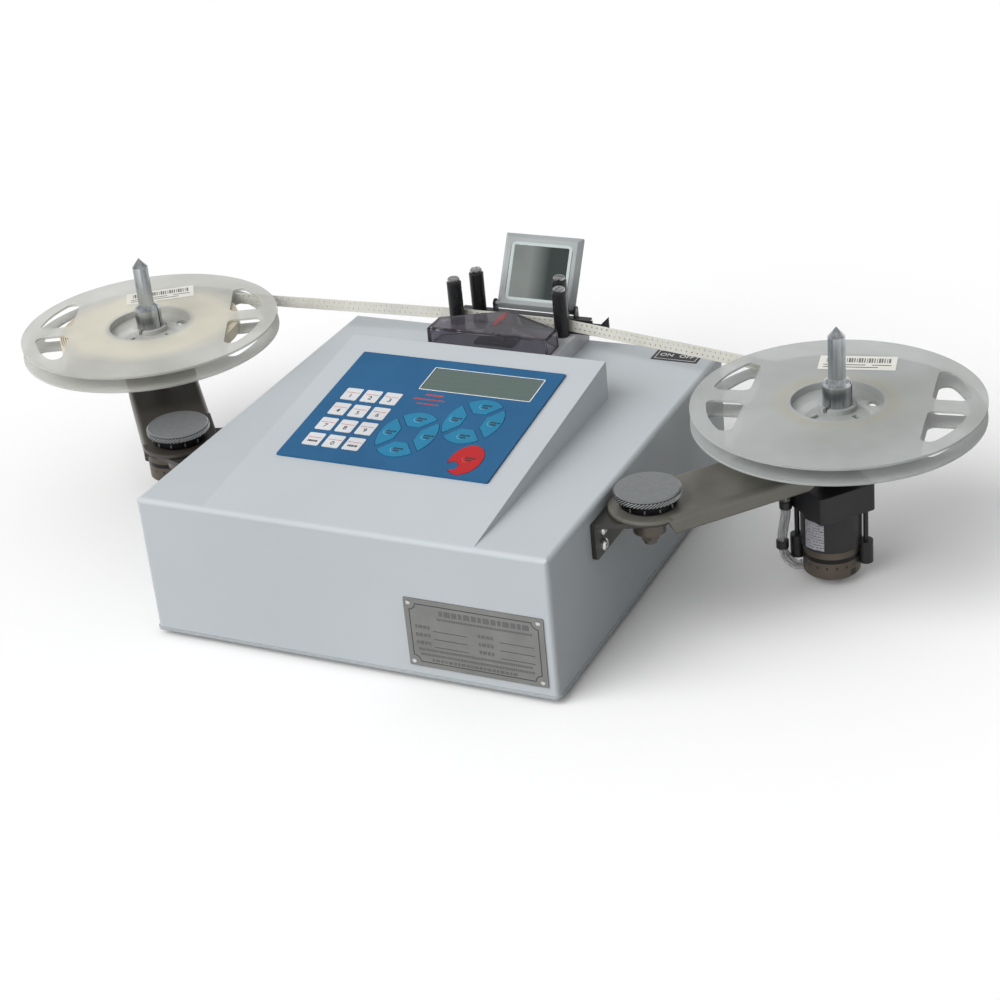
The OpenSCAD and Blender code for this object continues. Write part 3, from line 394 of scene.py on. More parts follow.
def prism(outline, low, high, place):
    """Vertices and faces of an outline raised from low to high along the place's Z."""
    return skin([raised(outline, z, place) for z in (low, high)], capped=True)


def ring_band(outer, inner, low, high, place):
    """Vertices and faces of a flat frame between two outlines of as many points."""
    rings = ((outer, low), (outer, high), (inner, high), (inner, low))
    return skin([raised(line, z, place) for line, z in rings], closed=True)


def arc_points(radius, start, end, count, centre=(0, 0)):
    """Points of an arc, angles in degrees."""
    turns = [math.radians(start + (end - start) * i / count) for i in range(count + 1)]
    return [(centre[0] + radius * math.cos(t), centre[1] + radius * math.sin(t)) for t in turns]


def circle_points(radius, count, start=0.0, centre=(0, 0)):
    """Points all round a circle, the first at an angle in degrees."""
    return arc_points(radius, start, start + 360, count, centre)[:-1]


def rounded(w, h, r, steps=5):
    """A rounded rectangle about the origin."""
    spots = ((1, 1, 0), (-1, 1, 90), (-1, -1, 180), (1, -1, 270))
    return [
        p for x, y, a in spots
        for p in arc_points(r, a, a + 90, steps, (x * (w / 2 - r), y * (h / 2 - r)))
    ]


def joined(parts):
    """Several vertex and face lists as one."""
    verts, faces = [], []
    for v, f in parts:
        start = len(verts)
        verts += list(v)
        faces += [tuple(i + start for i in face) for face in f]
    return verts, faces


WELD = 0.0001 * MM


def welded(parts):
    """Several vertex and face lists as one, points at the same spot made one."""
    verts, faces, known = [], [], {}
    for v, f in parts:
        index = []
        for p in v:
            key = tuple(round(c / WELD) for c in p)
            if key not in known:
                known[key] = len(verts)
                verts.append(p)
            index.append(known[key])
        faces += [tuple(dict.fromkeys(index[i] for i in face)) for face in f]
    return verts, [face for face in faces if len(face) > 2]


def seat(at, normal, along=(1, 0, 0)):
    """A place whose Z is the normal and whose X runs along."""
    z = Vector(normal).normalized()
    y = z.cross(Vector(along)).normalized()
    return Matrix.Translation(at) @ Matrix((y.cross(z), y, z)).transposed().to_4x4()


def shifted(place, x=0.0, y=0.0, z=0.0, turn=0.0):
    """A place moved in its own frame by millimetres and turned about its Z by degrees."""
    return place @ Matrix.Translation((x * MM, y * MM, z * MM)) @ Matrix.Rotation(math.radians(turn), 4, "Z")


FACING = 0.6
SAME_WAY = 0.999
SAME_LEVEL = 0.1 * MM


def centre_of(faces):
    """Centre of some faces, weighed by their areas."""
    return sum((p.center * p.area for p in faces), Vector()) / sum(p.area for p in faces)


def face_of(name, toward):
    """Centre and normal of a node's widest flat face on one side."""
    toward = Vector(toward)
    faces = [p for p in nodes[name].data.polygons if p.normal.dot(toward) > FACING]
    normal = max(faces, key=lambda p: p.area).normal.copy()
    faces = [p for p in faces if p.normal.dot(normal) > SAME_WAY]
    height = max(p.center.dot(normal) for p in faces)
    return centre_of([p for p in faces if height - p.center.dot(normal) < SAME_LEVEL]), normal


# Prints: ink stands this high above a face and reaches this deep into it
INK = 0.05 * MM
SUNK = -0.02 * MM
LETTER_SHARE = 0.7
LETTER_BOLD = 0.012
BAR_WIDTHS = (0.75, 1.35, 1.05)
BAR_GAP = 0.35
BAR_R = 0.15
LINE_INNER_R = 0.2 * MM


def lettering(word, height, place):
    """Vertices and faces of plain figures about the place's origin."""
    curve = bpy.data.curves.new("word", "FONT")
    curve.body = word
    curve.size = height / LETTER_SHARE
    curve.extrude = INK / 2
    curve.offset = LETTER_BOLD * height
    curve.resolution_u = 3
    curve.align_x = "CENTER"
    curve.align_y = "CENTER"
    holder = bpy.data.objects.new("word", curve)
    mesh = bpy.data.meshes.new_from_object(holder)
    verts = [place @ (v.co + Vector((0, 0, INK / 2))) for v in mesh.vertices]
    faces = [tuple(p.vertices) for p in mesh.polygons]
    bpy.data.objects.remove(holder)
    bpy.data.curves.remove(curve)
    bpy.data.meshes.remove(mesh)
    return welded([(verts, faces)])


def bar(w, h, place, r):
    """A printed bar w by h millimetres about the place's origin."""
    return prism(rounded(w * MM, h * MM, r * MM, 2), SUNK, INK, place)


def print_row(count, height, place, wide=1.0):
    """A row of short bars of three widths about the place's origin, in place of a word."""
    widths = [wide * BAR_WIDTHS[i % len(BAR_WIDTHS)] for i in range(count)]
    gap = wide * BAR_GAP
    x = -(sum(widths) + gap * (count - 1)) / 2
    bars = []
    for w in widths:
        bars.append(bar(w, height, shifted(place, x + w / 2), BAR_R))
        x += w + gap
    return joined(bars)


def print_rows(rows, place):
    """Rows of (bars, height, x, y), some with a fifth value for how wide their bars are."""
    return joined([print_row(n, h, shifted(place, x, y), *wide) for n, h, x, y, *wide in rows])


def line_round(w, h, thick, r, place):
    """A printed line inside a rounded rectangle w by h about the place's origin."""
    inner = rounded(w - 2 * thick, h - 2 * thick, LINE_INNER_R)
    return ring_band(rounded(w, h, r), inner, SUNK, INK, place)


def sticker(name, w, h, r, place, material, body):
    """A thin rounded slip about the place's origin; gives the place of its upper face."""
    piece(name, *prism(rounded(w, h, r), SUNK, 2 * INK, place), material, body)
    return shifted(place, z=2 * INK / MM)


def sweep(path, radius, sides, inner=0.0):
    """A closed tube along a path, hollow where it has an inner radius."""
    ahead = [(b - a).normalized() for a, b in zip(path, path[1:])]
    ahead = [ahead[0]] + [(a + b).normalized() for a, b in zip(ahead, ahead[1:])] + [ahead[-1]]
    across = ahead[0].orthogonal().normalized()
    frames = []
    for at, axis in zip(path, ahead):
        across = (across - axis * across.dot(axis)).normalized()
        frames.append((at, across, axis.cross(across)))

    def rings(r, order):
        return [[at + u * x + v * y for u, v in circle_points(r, sides)] for at, x, y in order]

    if inner:
        return skin(rings(radius, frames) + rings(inner, frames[::-1]), closed=True)
    return skin(rings(radius, frames), capped=True)


make_stage()

# CAD materials
HOUSING = (0.49, 0.525, 0.55)
GEARBOX = (0.016, 0.016, 0.018)
SPINDLE = (0.43, 0.45, 0.465)
ARM_BEND = 0.002
TURNED = (60, 60, 60)
FILM_GRAIN = 2600
FILM_DEPTH = 0.00001
# Both arms are one steel; the left arm's colour is darkened by painted shade.
ARM_STEEL_AND_SHADE = {"right": (0.17, 0.165, 0.14), "left": (0.062, 0.055, 0.047)}
arm_turn = {}
for side in SIDES:
    along = joint_at[f"{side}_reel_spin"] - joint_at[f"{side}_arm_swing"]
    arm_turn[side] = math.atan2(along.y, along.x)

assign(painted("housing_paint", HOUSING), "housing_cover")
assign(painted("base_paint", shade(HOUSING, 0.8)), "base_plate")
assign(painted("block_paint", (0.47, 0.48, 0.50), 0.35, 1200), "head_block")
assign(painted("rail_paint", (0.025, 0.025, 0.028), 0.4, 1200, 3.0), "tape_rail")
black_plastic = moulded("black_plastic", (0.014, 0.014, 0.015), 0.42)
assign(black_plastic, "power_inlet", "photo_sensor")
assign(moulded("foot_rubber", (0.02, 0.02, 0.02), 0.75, 500, 0.0001), "rubber_feet")
assign(moulded("rocker_plastic", (0.02, 0.02, 0.022), 0.25), "power_rocker")
assign(moulded("circuit_board", (0.01, 0.08, 0.03), 0.35), "main_board")
assign(moulded("roller_plastic", (0.012, 0.012, 0.013), 0.28, 2200, 0.00002), *[
    f"roller_{end}_{side}" for end in ("front", "rear") for side in ("left", "right")
])
bright_steel = brushed("bright_steel", (0.62, 0.62, 0.61), 0.28, 0, TURNED)
assign(bright_steel, "pan_screws")
assign(brushed("post_steel", (0.40, 0.40, 0.40), 0.22, 0, TURNED), "post_screws")
assign(brushed("stud_steel", (0.125, 0.105, 0.085), 0.35, 0, (80, 80, 20), 0.4), "pivot_studs")
assign(brushed("bracket_steel", (0.05, 0.048, 0.043), 0.36, 0, (4, 4, 260), 0.3), "arm_brackets")
for side in SIDES:
    # The left arm's material carries the painted shade of its darker colour.
    arm_steel_material = brushed(f"{side}_arm_steel", ARM_STEEL_AND_SHADE[side], 0.36, -arm_turn[side], metallic=0.3, bend=ARM_BEND)
    assign(arm_steel_material, f"{side}_arm")
    assign(painted(f"{side}_gearbox_paint", GEARBOX, 0.42, 1600, 2.5), f"{side}_gearbox")
    drawn = brushed(f"{side}_spindle_steel", SPINDLE, 0.2, 0, (85, 85, 4), contrast=0.4)
    assign(drawn, f"{side}_spindle")


def pressed(name, colour, rough, **constants):
    """Smooth plastic of the keypad."""
    return moulded(name, colour, rough, FILM_GRAIN, FILM_DEPTH, **constants)


number_keys = [f"key_{i}" for i in range(1, 10)] + ["key_function", "key_0", "key_enter"]
petals = [f"{c}_pad_{s}" for c in ("left", "right") for s in ("rear", "front", "left", "right")]
assign(pressed("overlay_film", (0.027, 0.113, 0.240), 0.5, Specular_IOR_Level=0.06), "keypad_overlay")
assign(pressed("white_key", (0.63, 0.64, 0.66), 0.4), *number_keys)
assign(pressed("blue_key", (0.015, 0.19, 0.345), 0.4, Specular_IOR_Level=0.2), *petals)
assign(pressed("red_key", (0.45, 0.009, 0.013), 0.36, Specular_IOR_Level=0.3), "key_stop")
assign(moulded("mirror_frame_plastic", (0.31, 0.33, 0.335), 0.35), "mirror_frame")


CLEAN = (0.4, 0.8)


def mirror_material():
    """Silvered glass with a painted reflection, lighter on its left side and darker towards its right, and a
    faint dust veil.
    """
    low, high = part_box("mirror_glass")
    s = Surface("mirror_silver", Metallic=1.0)
    # Painted reflection: the silver's colour falls from light on its left side to dark on its right, in place
    # of what the glass mirrors.
    painted_reflection_ramp = s.spread(s.axis("X", low), 0.35 * (high.x - low.x), 0.65 * (high.x - low.x))
    tone = s.mix(painted_reflection_ramp, (0.46, 0.50, 0.48), (0.105, 0.13, 0.125))
    veil = s.mix(s.spread(s.noise(50), 0.4, 0.8), WHITE, shade(WHITE, 0.88))
    s.colour(s.multiply(tone, veil))
    s.worn(120, 0.02, 0.06, CLEAN)
    return s.material


assign(mirror_material(), "mirror_glass")


def smoked_material():
    """Smoked acrylic: dark, clear, with painted shade along its edges and faint handling marks."""
    s = Surface("smoked_plastic", Transmission_Weight=0.92, IOR=1.35)
    tone = s.mix(s.spread(s.noise(40), 0.4, 0.7), (0.45, 0.43, 0.475), (0.50, 0.48, 0.525))
    # Painted shade: the acrylic's edges are coloured dark for the shade seen along them.
    s.colour(s.mix(s.edge(0.0007), tone, (0.05, 0.045, 0.055)))
    s.worn(150, 0.03, 0.08, CLEAN)
    return s.material


assign(smoked_material(), "head_cover")


MILKY = {"Subsurface_Weight": 0.25, "Subsurface_Radius": (0.004, 0.004, 0.004)}
REEL_HUB = (29 * MM, 32 * MM)


def reel_material(side, colour, wound, wound_r):
    """Milky translucent styrene with flow marks; the tape wound inside tints it out to the radius wound_r."""
    s = Surface(f"{side}_reel_plastic", Alpha=0.66, Specular_IOR_Level=0.3, **MILKY)
    flow = s.spread(s.noise(26, 4), 0.35, 0.7)
    cloud = s.mix(s.spread(s.noise(12, 3), 0.38, 0.62), WHITE, (0.84, 0.84, 0.82))
    reach = s.axis("R", joint_at[f"{side}_reel_spin"])
    ragged = s.math("ADD", reach, s.math("MULTIPLY", flow, 6 * MM))
    rim = s.spread(ragged, wound_r - 5 * MM, wound_r + 9 * MM)
    tone = s.mix(rim, wound, colour)
    tone = s.mix(s.spread(reach, *REEL_HUB), colour, tone)
    tone = s.multiply(tone, s.mix(flow, WHITE, (0.93, 0.93, 0.92)))
    s.colour(s.multiply(tone, cloud))
    s.worn(120, 0.42, 0.55)
    s.bump(s.noise(700, 2), 0.00004, 0.3, 0.0003)
    return s.material


assign(reel_material("right", (0.53, 0.55, 0.545), (0.55, 0.525, 0.43), 35 * MM), "right_reel")
assign(reel_material("left", (0.68, 0.68, 0.65), (0.87, 0.845, 0.735), 60 * MM), "left_reel")


KNOB_COLLAR = 5.2 * MM
KNOB_RINGS = 4000.0


def knob_material(side):
    """Satin aluminium above a black collar."""
    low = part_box(f"{side}_knob")[0]
    s = Surface(f"{side}_knob_metal", Metallic=0.9)
    upper = s.math("GREATER_THAN", s.axis("Z"), low.z + KNOB_COLLAR)
    scuff = s.mix(s.spread(s.noise(420, 2), 0.35, 0.7), (0.32, 0.335, 0.345), (0.29, 0.30, 0.31))
    s.colour(s.mix(upper, (0.012, 0.012, 0.013), scuff))
    s.worn(300, 0.3, 0.46)
    reach = s.axis("R", joint_at[f"{side}_knob_turn"])
    rings = s.math("SINE", s.math("MULTIPLY", reach, KNOB_RINGS))
    s.bump(rings, 0.00002, 0.3, 0.0003)
    return s.material


# Motor cans: heights of the marks in millimetres from the can's upper edge
CAN_BAND = (-8.1, -5.1)
CAN_TICK_BELT = (-12.4, -10.6)
CAN_TICKS = 18
CAN_TICK_SHARE = 0.2
CAN_VENT_BELT = (-19.4, -14.2)
CAN_VENT = math.radians(-24)
CAN_VENT_HALF = 0.14


def can_material(side):
    """Bronze lacquer with a black band below its upper edge, ticks under the band, and one vent painted as a
    dark patch of shade.
    """
    low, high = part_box(f"{side}_motor")
    axis = (low + high) / 2
    s = Surface(f"{side}_can_paint", Metallic=0.65)
    height = s.axis("Z", high)
    turn = s.math("ARCTAN2", s.axis("Y", axis), s.axis("X", axis))
    share = s.math("FRACT", s.math("MULTIPLY", turn, CAN_TICKS / math.tau))
    tick = s.math("GREATER_THAN", share, 1 - CAN_TICK_SHARE)
    # The vent is painted shade: a dark patch in place of the opening.
    vent_shade = s.math("LESS_THAN", s.math("ABSOLUTE", s.math("SUBTRACT", turn, CAN_VENT)), CAN_VENT_HALF)

    def belt(bottom, top):
        above = s.math("GREATER_THAN", height, bottom * MM)
        return s.math("MULTIPLY", above, s.math("LESS_THAN", height, top * MM))

    marks = s.math("MULTIPLY", tick, belt(*CAN_TICK_BELT))
    marks = s.math("MAXIMUM", marks, s.math("MULTIPLY", vent_shade, belt(*CAN_VENT_BELT)))
    dark = s.math("MAXIMUM", belt(*CAN_BAND), s.math("MULTIPLY", marks, 0.75))
    tone = s.mix(s.spread(s.noise(60), 0.35, 0.7), (0.13, 0.108, 0.085), (0.10, 0.083, 0.065))
    s.colour(s.mix(dark, tone, (0.015, 0.015, 0.016)))
    s.worn(200, 0.34, 0.48)
    s.bump(s.noise(500, 2), 0.00005, 0.3, 0.0004)
    return s.material


for side in SIDES:
    assign(knob_material(side), f"{side}_knob")
    assign(can_material(side), f"{side}_motor")


CELL_PITCH = {"X": 3.6 * MM, "Y": 5.6 * MM}
CELL_GAP = 0.14


def display_material():
    """A grey-green display with faint rows of character cells."""
    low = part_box("lcd_module")[0]
    s = Surface("display_glass", Coat_Weight=0.25, Coat_Roughness=0.08)
    cells = [
        s.math("GREATER_THAN", s.math("FRACT", s.math("MULTIPLY", s.axis(a, low), 1 / pitch)), CELL_GAP)
        for a, pitch in CELL_PITCH.items()
    ]
    cell = s.math("MULTIPLY", *cells)
    s.colour(s.mix(cell, (0.085, 0.128, 0.115), (0.076, 0.116, 0.104)))
    s.worn(90, 0.2, 0.3)
    return s.material


assign(display_material(), "lcd_module")
assign(brushed("plate_metal", (0.235, 0.236, 0.228), 0.36, 0, (5, 300, 300), 0.85), "nameplate")

# Materials of the pieces
tape_plastic = moulded("tape_plastic", (0.62, 0.61, 0.55), 0.35, 900, 0.00003)
wound_plastic = moulded("wound_plastic", (0.70, 0.64, 0.50), 0.4, 900, 0.00003)
CLEAR = {"Transmission_Weight": 0.85, "IOR": 1.3}
lead_sleeve = moulded("lead_sleeve", (0.82, 0.83, 0.84), 0.12, 600, 0.00002, **CLEAR)
black_ink = moulded("black_ink", (0.018, 0.018, 0.02), 0.5)
red_ink = moulded("red_ink", (0.52, 0.05, 0.03), 0.45)
white_ink = moulded("white_ink", (0.78, 0.79, 0.78), 0.5)
grey_ink = moulded("grey_ink", (0.12, 0.12, 0.12), 0.5)
sticker_paper = moulded("sticker_paper", (0.74, 0.73, 0.68), 0.6, 1800, 0.00002)
dome_blue = pressed("dome_blue", (0.07, 0.37, 0.58), 0.3)
dome_red = pressed("dome_red", (0.60, 0.05, 0.05), 0.3)
arrow_red = moulded("arrow_red", (0.30, 0.018, 0.022), 0.4)
pin_steel = brushed("pin_steel", (0.24, 0.24, 0.25), 0.3, 0, TURNED)
bead_plastic = moulded("bead_plastic", (0.45, 0.51, 0.50), 0.25)

# Keypad prints, in millimetres from a key's or the display's middle; rows are (bars, height, x, y)
KEY_RULE = (9.4, 0.4)
KEY_RULE_UP = 1.6
KEY_MARK_UP = -2.2
KEY_FIGURE = 3.8 * MM
KEY_WORD = (5, 1.9)
PETAL_ROWS = ((5, 1.5, 1.4, 1.2), (3, 1.5, 0.8, -1.2))
FILM_ROWS = ((9, 1.9, -24.7, -18.4), (16, 1.3, -26.3, -23.6), (11, 1.3, -25.1, -28.6))
SCREEN_LINE = (78 * MM, 26.3 * MM, 0.7 * MM, 0.9 * MM)
for name in number_keys:
    place = seat(*face_of(name, UP))
    piece(f"{name}_rule", *bar(*KEY_RULE, shifted(place, y=KEY_RULE_UP), BAR_R), red_ink, f"{name}_unit")
    figure = name.split("_")[1]
    place = shifted(place, y=KEY_MARK_UP)
    mark = lettering(figure, KEY_FIGURE, place) if figure.isdigit() else print_row(*KEY_WORD, place)
    piece(f"{name}_figure", *mark, black_ink, f"{name}_unit")

# Domes: a crescent between an arc and a smaller one that is shifted inside it
DOME_R = 3.4 * MM
DOME_INNER = 0.93 * DOME_R
DOME_SHIFT = (0.1 * DOME_R, 0.06 * DOME_R)
DOME_TURN = (120, 300)
DOME_STEPS = 14
crescent = arc_points(DOME_R, *DOME_TURN, DOME_STEPS)
crescent += arc_points(DOME_INNER, *DOME_TURN[::-1], DOME_STEPS, DOME_SHIFT)[1:-1]
for name in petals + ["key_stop"]:
    place = seat(*face_of(name, UP))
    ink = dome_red if name == "key_stop" else dome_blue
    piece(f"{name}_dome", *prism(crescent, SUNK, 2 * INK, place), ink, f"{name}_unit")
    piece(f"{name}_print", *print_rows(PETAL_ROWS, place), black_ink, f"{name}_unit")

screen, slope = face_of("lcd_module", UP)
film = face_of("keypad_overlay", UP)[0]
screen_place = seat(screen + slope * (film - screen).dot(slope), slope)
piece("display_line", *line_round(*SCREEN_LINE, screen_place), white_ink, "housing")
piece("film_print", *print_rows(FILM_ROWS, screen_place), red_ink, "housing")


# Nameplate: a line scooped round four rivets, blank rules, rows of bars in place of words, in millimetres
PLATE_MARGIN = 3.2 * MM
PLATE_LINE = 0.5 * MM
SCOOP_R = 4.2 * MM
SCOOP_STEPS = 6
PLATE_RIVET = (1.5 * MM, 0.7 * MM)
RIVET_WALL = 0.3
RIVET_TURNS = (0.4, 0.8, 1.2, 1.5)
RIVET_SIDES = 16
RULE = (22, 0.3)
RULE_R = 0.1
RULES_X = (-16, 27)
RULES_Y = (2.7, -2.8, -8.2)
LABELS_X = (-34, 7)
LABEL_UP = 1.8
PLATE_ROWS = [(14, 3.6, 6.7, 15.6, 3.0), (44, 1.4, 6.7, 11.4)]
PLATE_ROWS += [(4, 2.2, x, y + LABEL_UP, 1.9) for x in LABELS_X for y in RULES_Y]
PLATE_ROWS += [(53, 1.6, -1, -11.0), (53, 1.6, 0, -14.4), (20, 1.8, -2, -17.7, 2.0)]


def scooped(w, h, r, inset):
    """A rectangle whose corners are scooped out about the corners of w by h, drawn in by inset."""
    slip = math.degrees(math.asin(inset / (r + inset)))
    corners = ((1, 1, 270), (-1, 1, 360), (-1, -1, 90), (1, -1, 180))
    return [
        p for x, y, a in corners
        for p in arc_points(r + inset, a - slip, a - 90 + slip, SCOOP_STEPS, (x * w / 2, y * h / 2))
    ]


def rivet(r, h, place):
    """A low domed head on a short straight wall."""
    wall = RIVET_WALL * h
    profile = [(0, SUNK), (r, SUNK), (r, wall)]
    profile += [(r * math.cos(t), wall + (h - wall) * math.sin(t)) for t in RIVET_TURNS]
    profile.append((0, h))
    return welded([skin([raised(circle_points(reach, RIVET_SIDES), z, place) for reach, z in profile])])


plate_low, plate_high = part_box("nameplate")
plate_place = seat(*face_of("nameplate", FRONT))
line_w = plate_high.x - plate_low.x - 2 * PLATE_MARGIN
line_h = plate_high.z - plate_low.z - 2 * PLATE_MARGIN
loops = [scooped(line_w, line_h, SCOOP_R, inset) for inset in (0, PLATE_LINE)]
piece("plate_line", *ring_band(*loops, SUNK, INK, plate_place), black_ink, "housing")
corners = [(x * line_w / 2 / MM, y * line_h / 2 / MM) for x, y in SQUARE]
rivets = [rivet(*PLATE_RIVET, shifted(plate_place, *corner)) for corner in corners]
piece("plate_rivets", *joined(rivets), bright_steel, "housing", smooth=True)
rules = [bar(*RULE, shifted(plate_place, x, y), RULE_R) for x in RULES_X for y in RULES_Y]
piece("plate_rules", *joined(rules), black_ink, "housing")
piece("plate_print", *print_rows(PLATE_ROWS, plate_place), grey_ink, "housing")

# Power label on the top, above the inlet; Y counts from the housing's front
LABEL_X = 111.2 * MM
LABEL_Y = 275.5 * MM
LABEL_SIZE = (32.5 * MM, 17 * MM, 0.6 * MM)
LABEL_LINE = (28.6 * MM, 12.6 * MM, 0.5 * MM, 0.4 * MM)
LABEL_WORD = 4.2 * MM
LABEL_WORDS = {"ON": -7.5, "OFF": 6.5}
front_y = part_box("housing_cover")[0].y
top_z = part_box("head_block")[0].z
label_place = seat((LABEL_X, front_y + LABEL_Y, top_z), UP)
label_top = sticker("power_label", *LABEL_SIZE, label_place, black_plastic, "housing")
prints = [lettering(word, LABEL_WORD, shifted(label_top, x)) for word, x in LABEL_WORDS.items()]
prints = [line_round(*LABEL_LINE, label_top)] + prints
piece("power_label_print", *joined(prints), white_ink, "housing")

# Arrow on the hood, to the spot under its point where the tape is read, in millimetres
ARROW = [(-1.5, 0), (0, 2.2), (1.5, 0), (1.0, 11), (2.6, 10), (0, 24), (-2.6, 10), (-1.0, 11)]
ARROW_X = -5.6 * MM
ARROW_Y = 241 * MM
arrow_place = seat((ARROW_X, front_y + ARROW_Y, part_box("head_cover")[1].z), UP)
arrow = prism([(x * MM, y * MM) for x, y in ARROW], SUNK, INK, arrow_place)
piece("hood_arrow", *arrow, arrow_red, "housing")

# Reel labels: a slip of paper with a row of upright bars and three rules of (length, x, y), in millimetres
SLIP = (48 * MM, 20 * MM, 0.5 * MM)
BARS = 26
CODE_WIDTHS = (0.45, 1.2, 0.95, 0.7)
CODE_H = 6.5
CODE_R = 0.1
CODE_PITCH = 1.55
CODE_X = 1
CODE_Y = 3.5
SLIP_RULES = ((26, -8, -3.2), (12, 15, -3.2), (34, -4, -6.6))
SLIP_RULE_H = 1.1
SLIP_RULE_R = 0.3


def reel_label(side, x, y, turn):
    """A label on the upper flange, x and y from the spindle, turned by degrees."""
    body = f"{side}_reel_unit"
    axis = joint_at[f"{side}_reel_spin"]
    place = shifted(seat((axis.x, axis.y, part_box(f"{side}_reel")[1].z), UP), x, y, 0, turn)
    face = sticker(f"{side}_reel_label", *SLIP, place, sticker_paper, body)
    bars = []
    for i in range(BARS):
        at = shifted(face, CODE_PITCH * (i - BARS / 2) + CODE_X, CODE_Y)
        bars.append(bar(CODE_WIDTHS[i % len(CODE_WIDTHS)], CODE_H, at, CODE_R))
    for length, across, up in SLIP_RULES:
        bars.append(bar(length, SLIP_RULE_H, shifted(face, across, up), SLIP_RULE_R))
    piece(f"{side}_reel_label_print", *joined(bars), grey_ink, body)


reel_label("right", -3.6, 54.4, 11)
reel_label("left", -21, 46, 34)

# Knobs: a knurled rim, and pins round the black collar
KNURLS = 110
KNURL_ROWS = 6
KNURL_H = 0.55 * MM
KNURL_BASE = 0.03 * MM
KNURL_SUNK = 0.3 * MM
KNURL_UP = 6.0 * MM
KNURL_DOWN = 0.8 * MM
PINS = 12
PIN_R = 0.6 * MM
PIN_SIDES = 8
PIN_IN = 2.4 * MM
PIN_LOW = 1.6 * MM
PIN_HIGH = 3.8 * MM


def knurl_material(side, rim):
    """Knurled aluminium with painted shade in its grooves and a painted highlight on its ridges."""
    s = Surface(f"{side}_knurl_metal", Metallic=0.9)
    reach = s.axis("R", joint_at[f"{side}_knob_turn"])
    # Painted shade and highlight: dark at the bottom of the grooves, bright on the ridges.
    proud = s.spread(reach, rim + 0.2 * KNURL_H, rim + KNURL_H)
    s.colour(s.mix(proud, (0.03, 0.032, 0.034), (0.62, 0.64, 0.65)))
    s.worn(300, 0.26, 0.38)
    return s.material


def knob_trim(side):
    body = f"{side}_knob_unit"
    low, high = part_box(f"{side}_knob")
    axis = (low + high) / 2
    place = Matrix.Translation((axis.x, axis.y, 0))
    rim = (high.x - low.x) / 2
    rim_low = low.z + KNURL_UP
    rim_high = high.z - KNURL_DOWN
    rows = []
    for j in range(KNURL_ROWS):
        z = rim_low + (rim_high - rim_low) * j / (KNURL_ROWS - 1)
        proud = 0 < j < KNURL_ROWS - 1
        rows.append([(rim + (KNURL_H if proud and (i + j) % 2 else KNURL_BASE), z) for i in range(KNURLS)])
    rows += [[(rim - KNURL_SUNK, z)] * KNURLS for z in (rim_high, rim_low)]
    rays = circle_points(1, KNURLS)
    loops = [[place @ Vector((r * x, r * y, z)) for (x, y), (r, z) in zip(rays, row)] for row in rows]
    piece(f"{side}_knob_knurl", *skin(loops, closed=True), knurl_material(side, rim), body)
    pins = [
        prism(circle_points(PIN_R, PIN_SIDES, 0, spot), low.z + PIN_LOW, low.z + PIN_HIGH, place)
        for spot in circle_points(rim - PIN_IN, PINS, 180 / PINS)
    ]
    piece(f"{side}_knob_pins", *joined(pins), pin_steel, body)


for side in SIDES:
    knob_trim(side)

# Motors: a paper label round the black body, heights from the can's upper edge
MOTOR_R = 19 * MM
WRAP_DEEP = 0.1 * MM
WRAP_PROUD = 0.06 * MM
WRAP_LOW = 1.5 * MM
WRAP_HIGH = 21 * MM
WRAP_STEPS = 10
PRINT_PITCH = 1.9 * MM


def printed_paper():
    """Label paper with rows of fine unreadable print."""
    s = Surface("printed_paper")
    row = s.math("GREATER_THAN", s.math("FRACT", s.math("MULTIPLY", s.axis("Z"), 1 / PRINT_PITCH)), 0.4)
    stroke = s.math("GREATER_THAN", s.noise(1400, 1), 0.5)
    s.colour(s.mix(s.math("MULTIPLY", row, stroke), (0.46, 0.46, 0.49), (0.15, 0.15, 0.18)))
    s.worn(70, 0.5, 0.6)
    return s.material


def motor_trim(side, start, end):
    """A label round the motor from one angle to another, in degrees."""
    low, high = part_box(f"{side}_motor")
    place = Matrix.Translation(((low.x + high.x) / 2, (low.y + high.y) / 2, high.z))
    inner, outer = MOTOR_R - WRAP_DEEP, MOTOR_R + WRAP_PROUD
    profile = ((inner, WRAP_HIGH), (outer, WRAP_HIGH), (outer, WRAP_LOW), (inner, WRAP_LOW))
    rays = arc_points(1, start, end, WRAP_STEPS)
    loops = [[place @ Vector((r * x, r * y, z)) for r, z in profile] for x, y in rays]
    piece(f"{side}_motor_label", *skin(loops, capped=True), label_paper, f"{side}_arm_unit")


label_paper = printed_paper()
motor_trim("right", -128, -86)
motor_trim("left", -94, -52)

# Mirror: a rounded bead between its frame and the glass, in millimetres inward and shares of the frame's rise
BEAD = ((0.2, 0.0), (0.2, 0.75), (0.7, 1.0), (1.4, 0.7), (2.6, 0.15), (2.6, -0.1), (0.2, -0.1))
BEAD_R = 3.6
glass, glass_normal = face_of("mirror_glass", FRONT)
mirror_place = seat(glass, glass_normal)
rise = (face_of("mirror_frame", glass_normal)[0] - glass).dot(glass_normal)
glass_low, glass_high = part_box("mirror_glass")
glass_w = glass_high.x - glass_low.x
glass_h = math.hypot(glass_high.y - glass_low.y, glass_high.z - glass_low.z)
loops = []
for inset, height in BEAD:
    outline = rounded(glass_w - 2 * inset * MM, glass_h - 2 * inset * MM, (BEAD_R - inset) * MM)
    loops.append(raised(outline, height * rise, mirror_place))
piece("mirror_bead", *skin(loops, closed=True), bead_plastic, "mirror_unit")

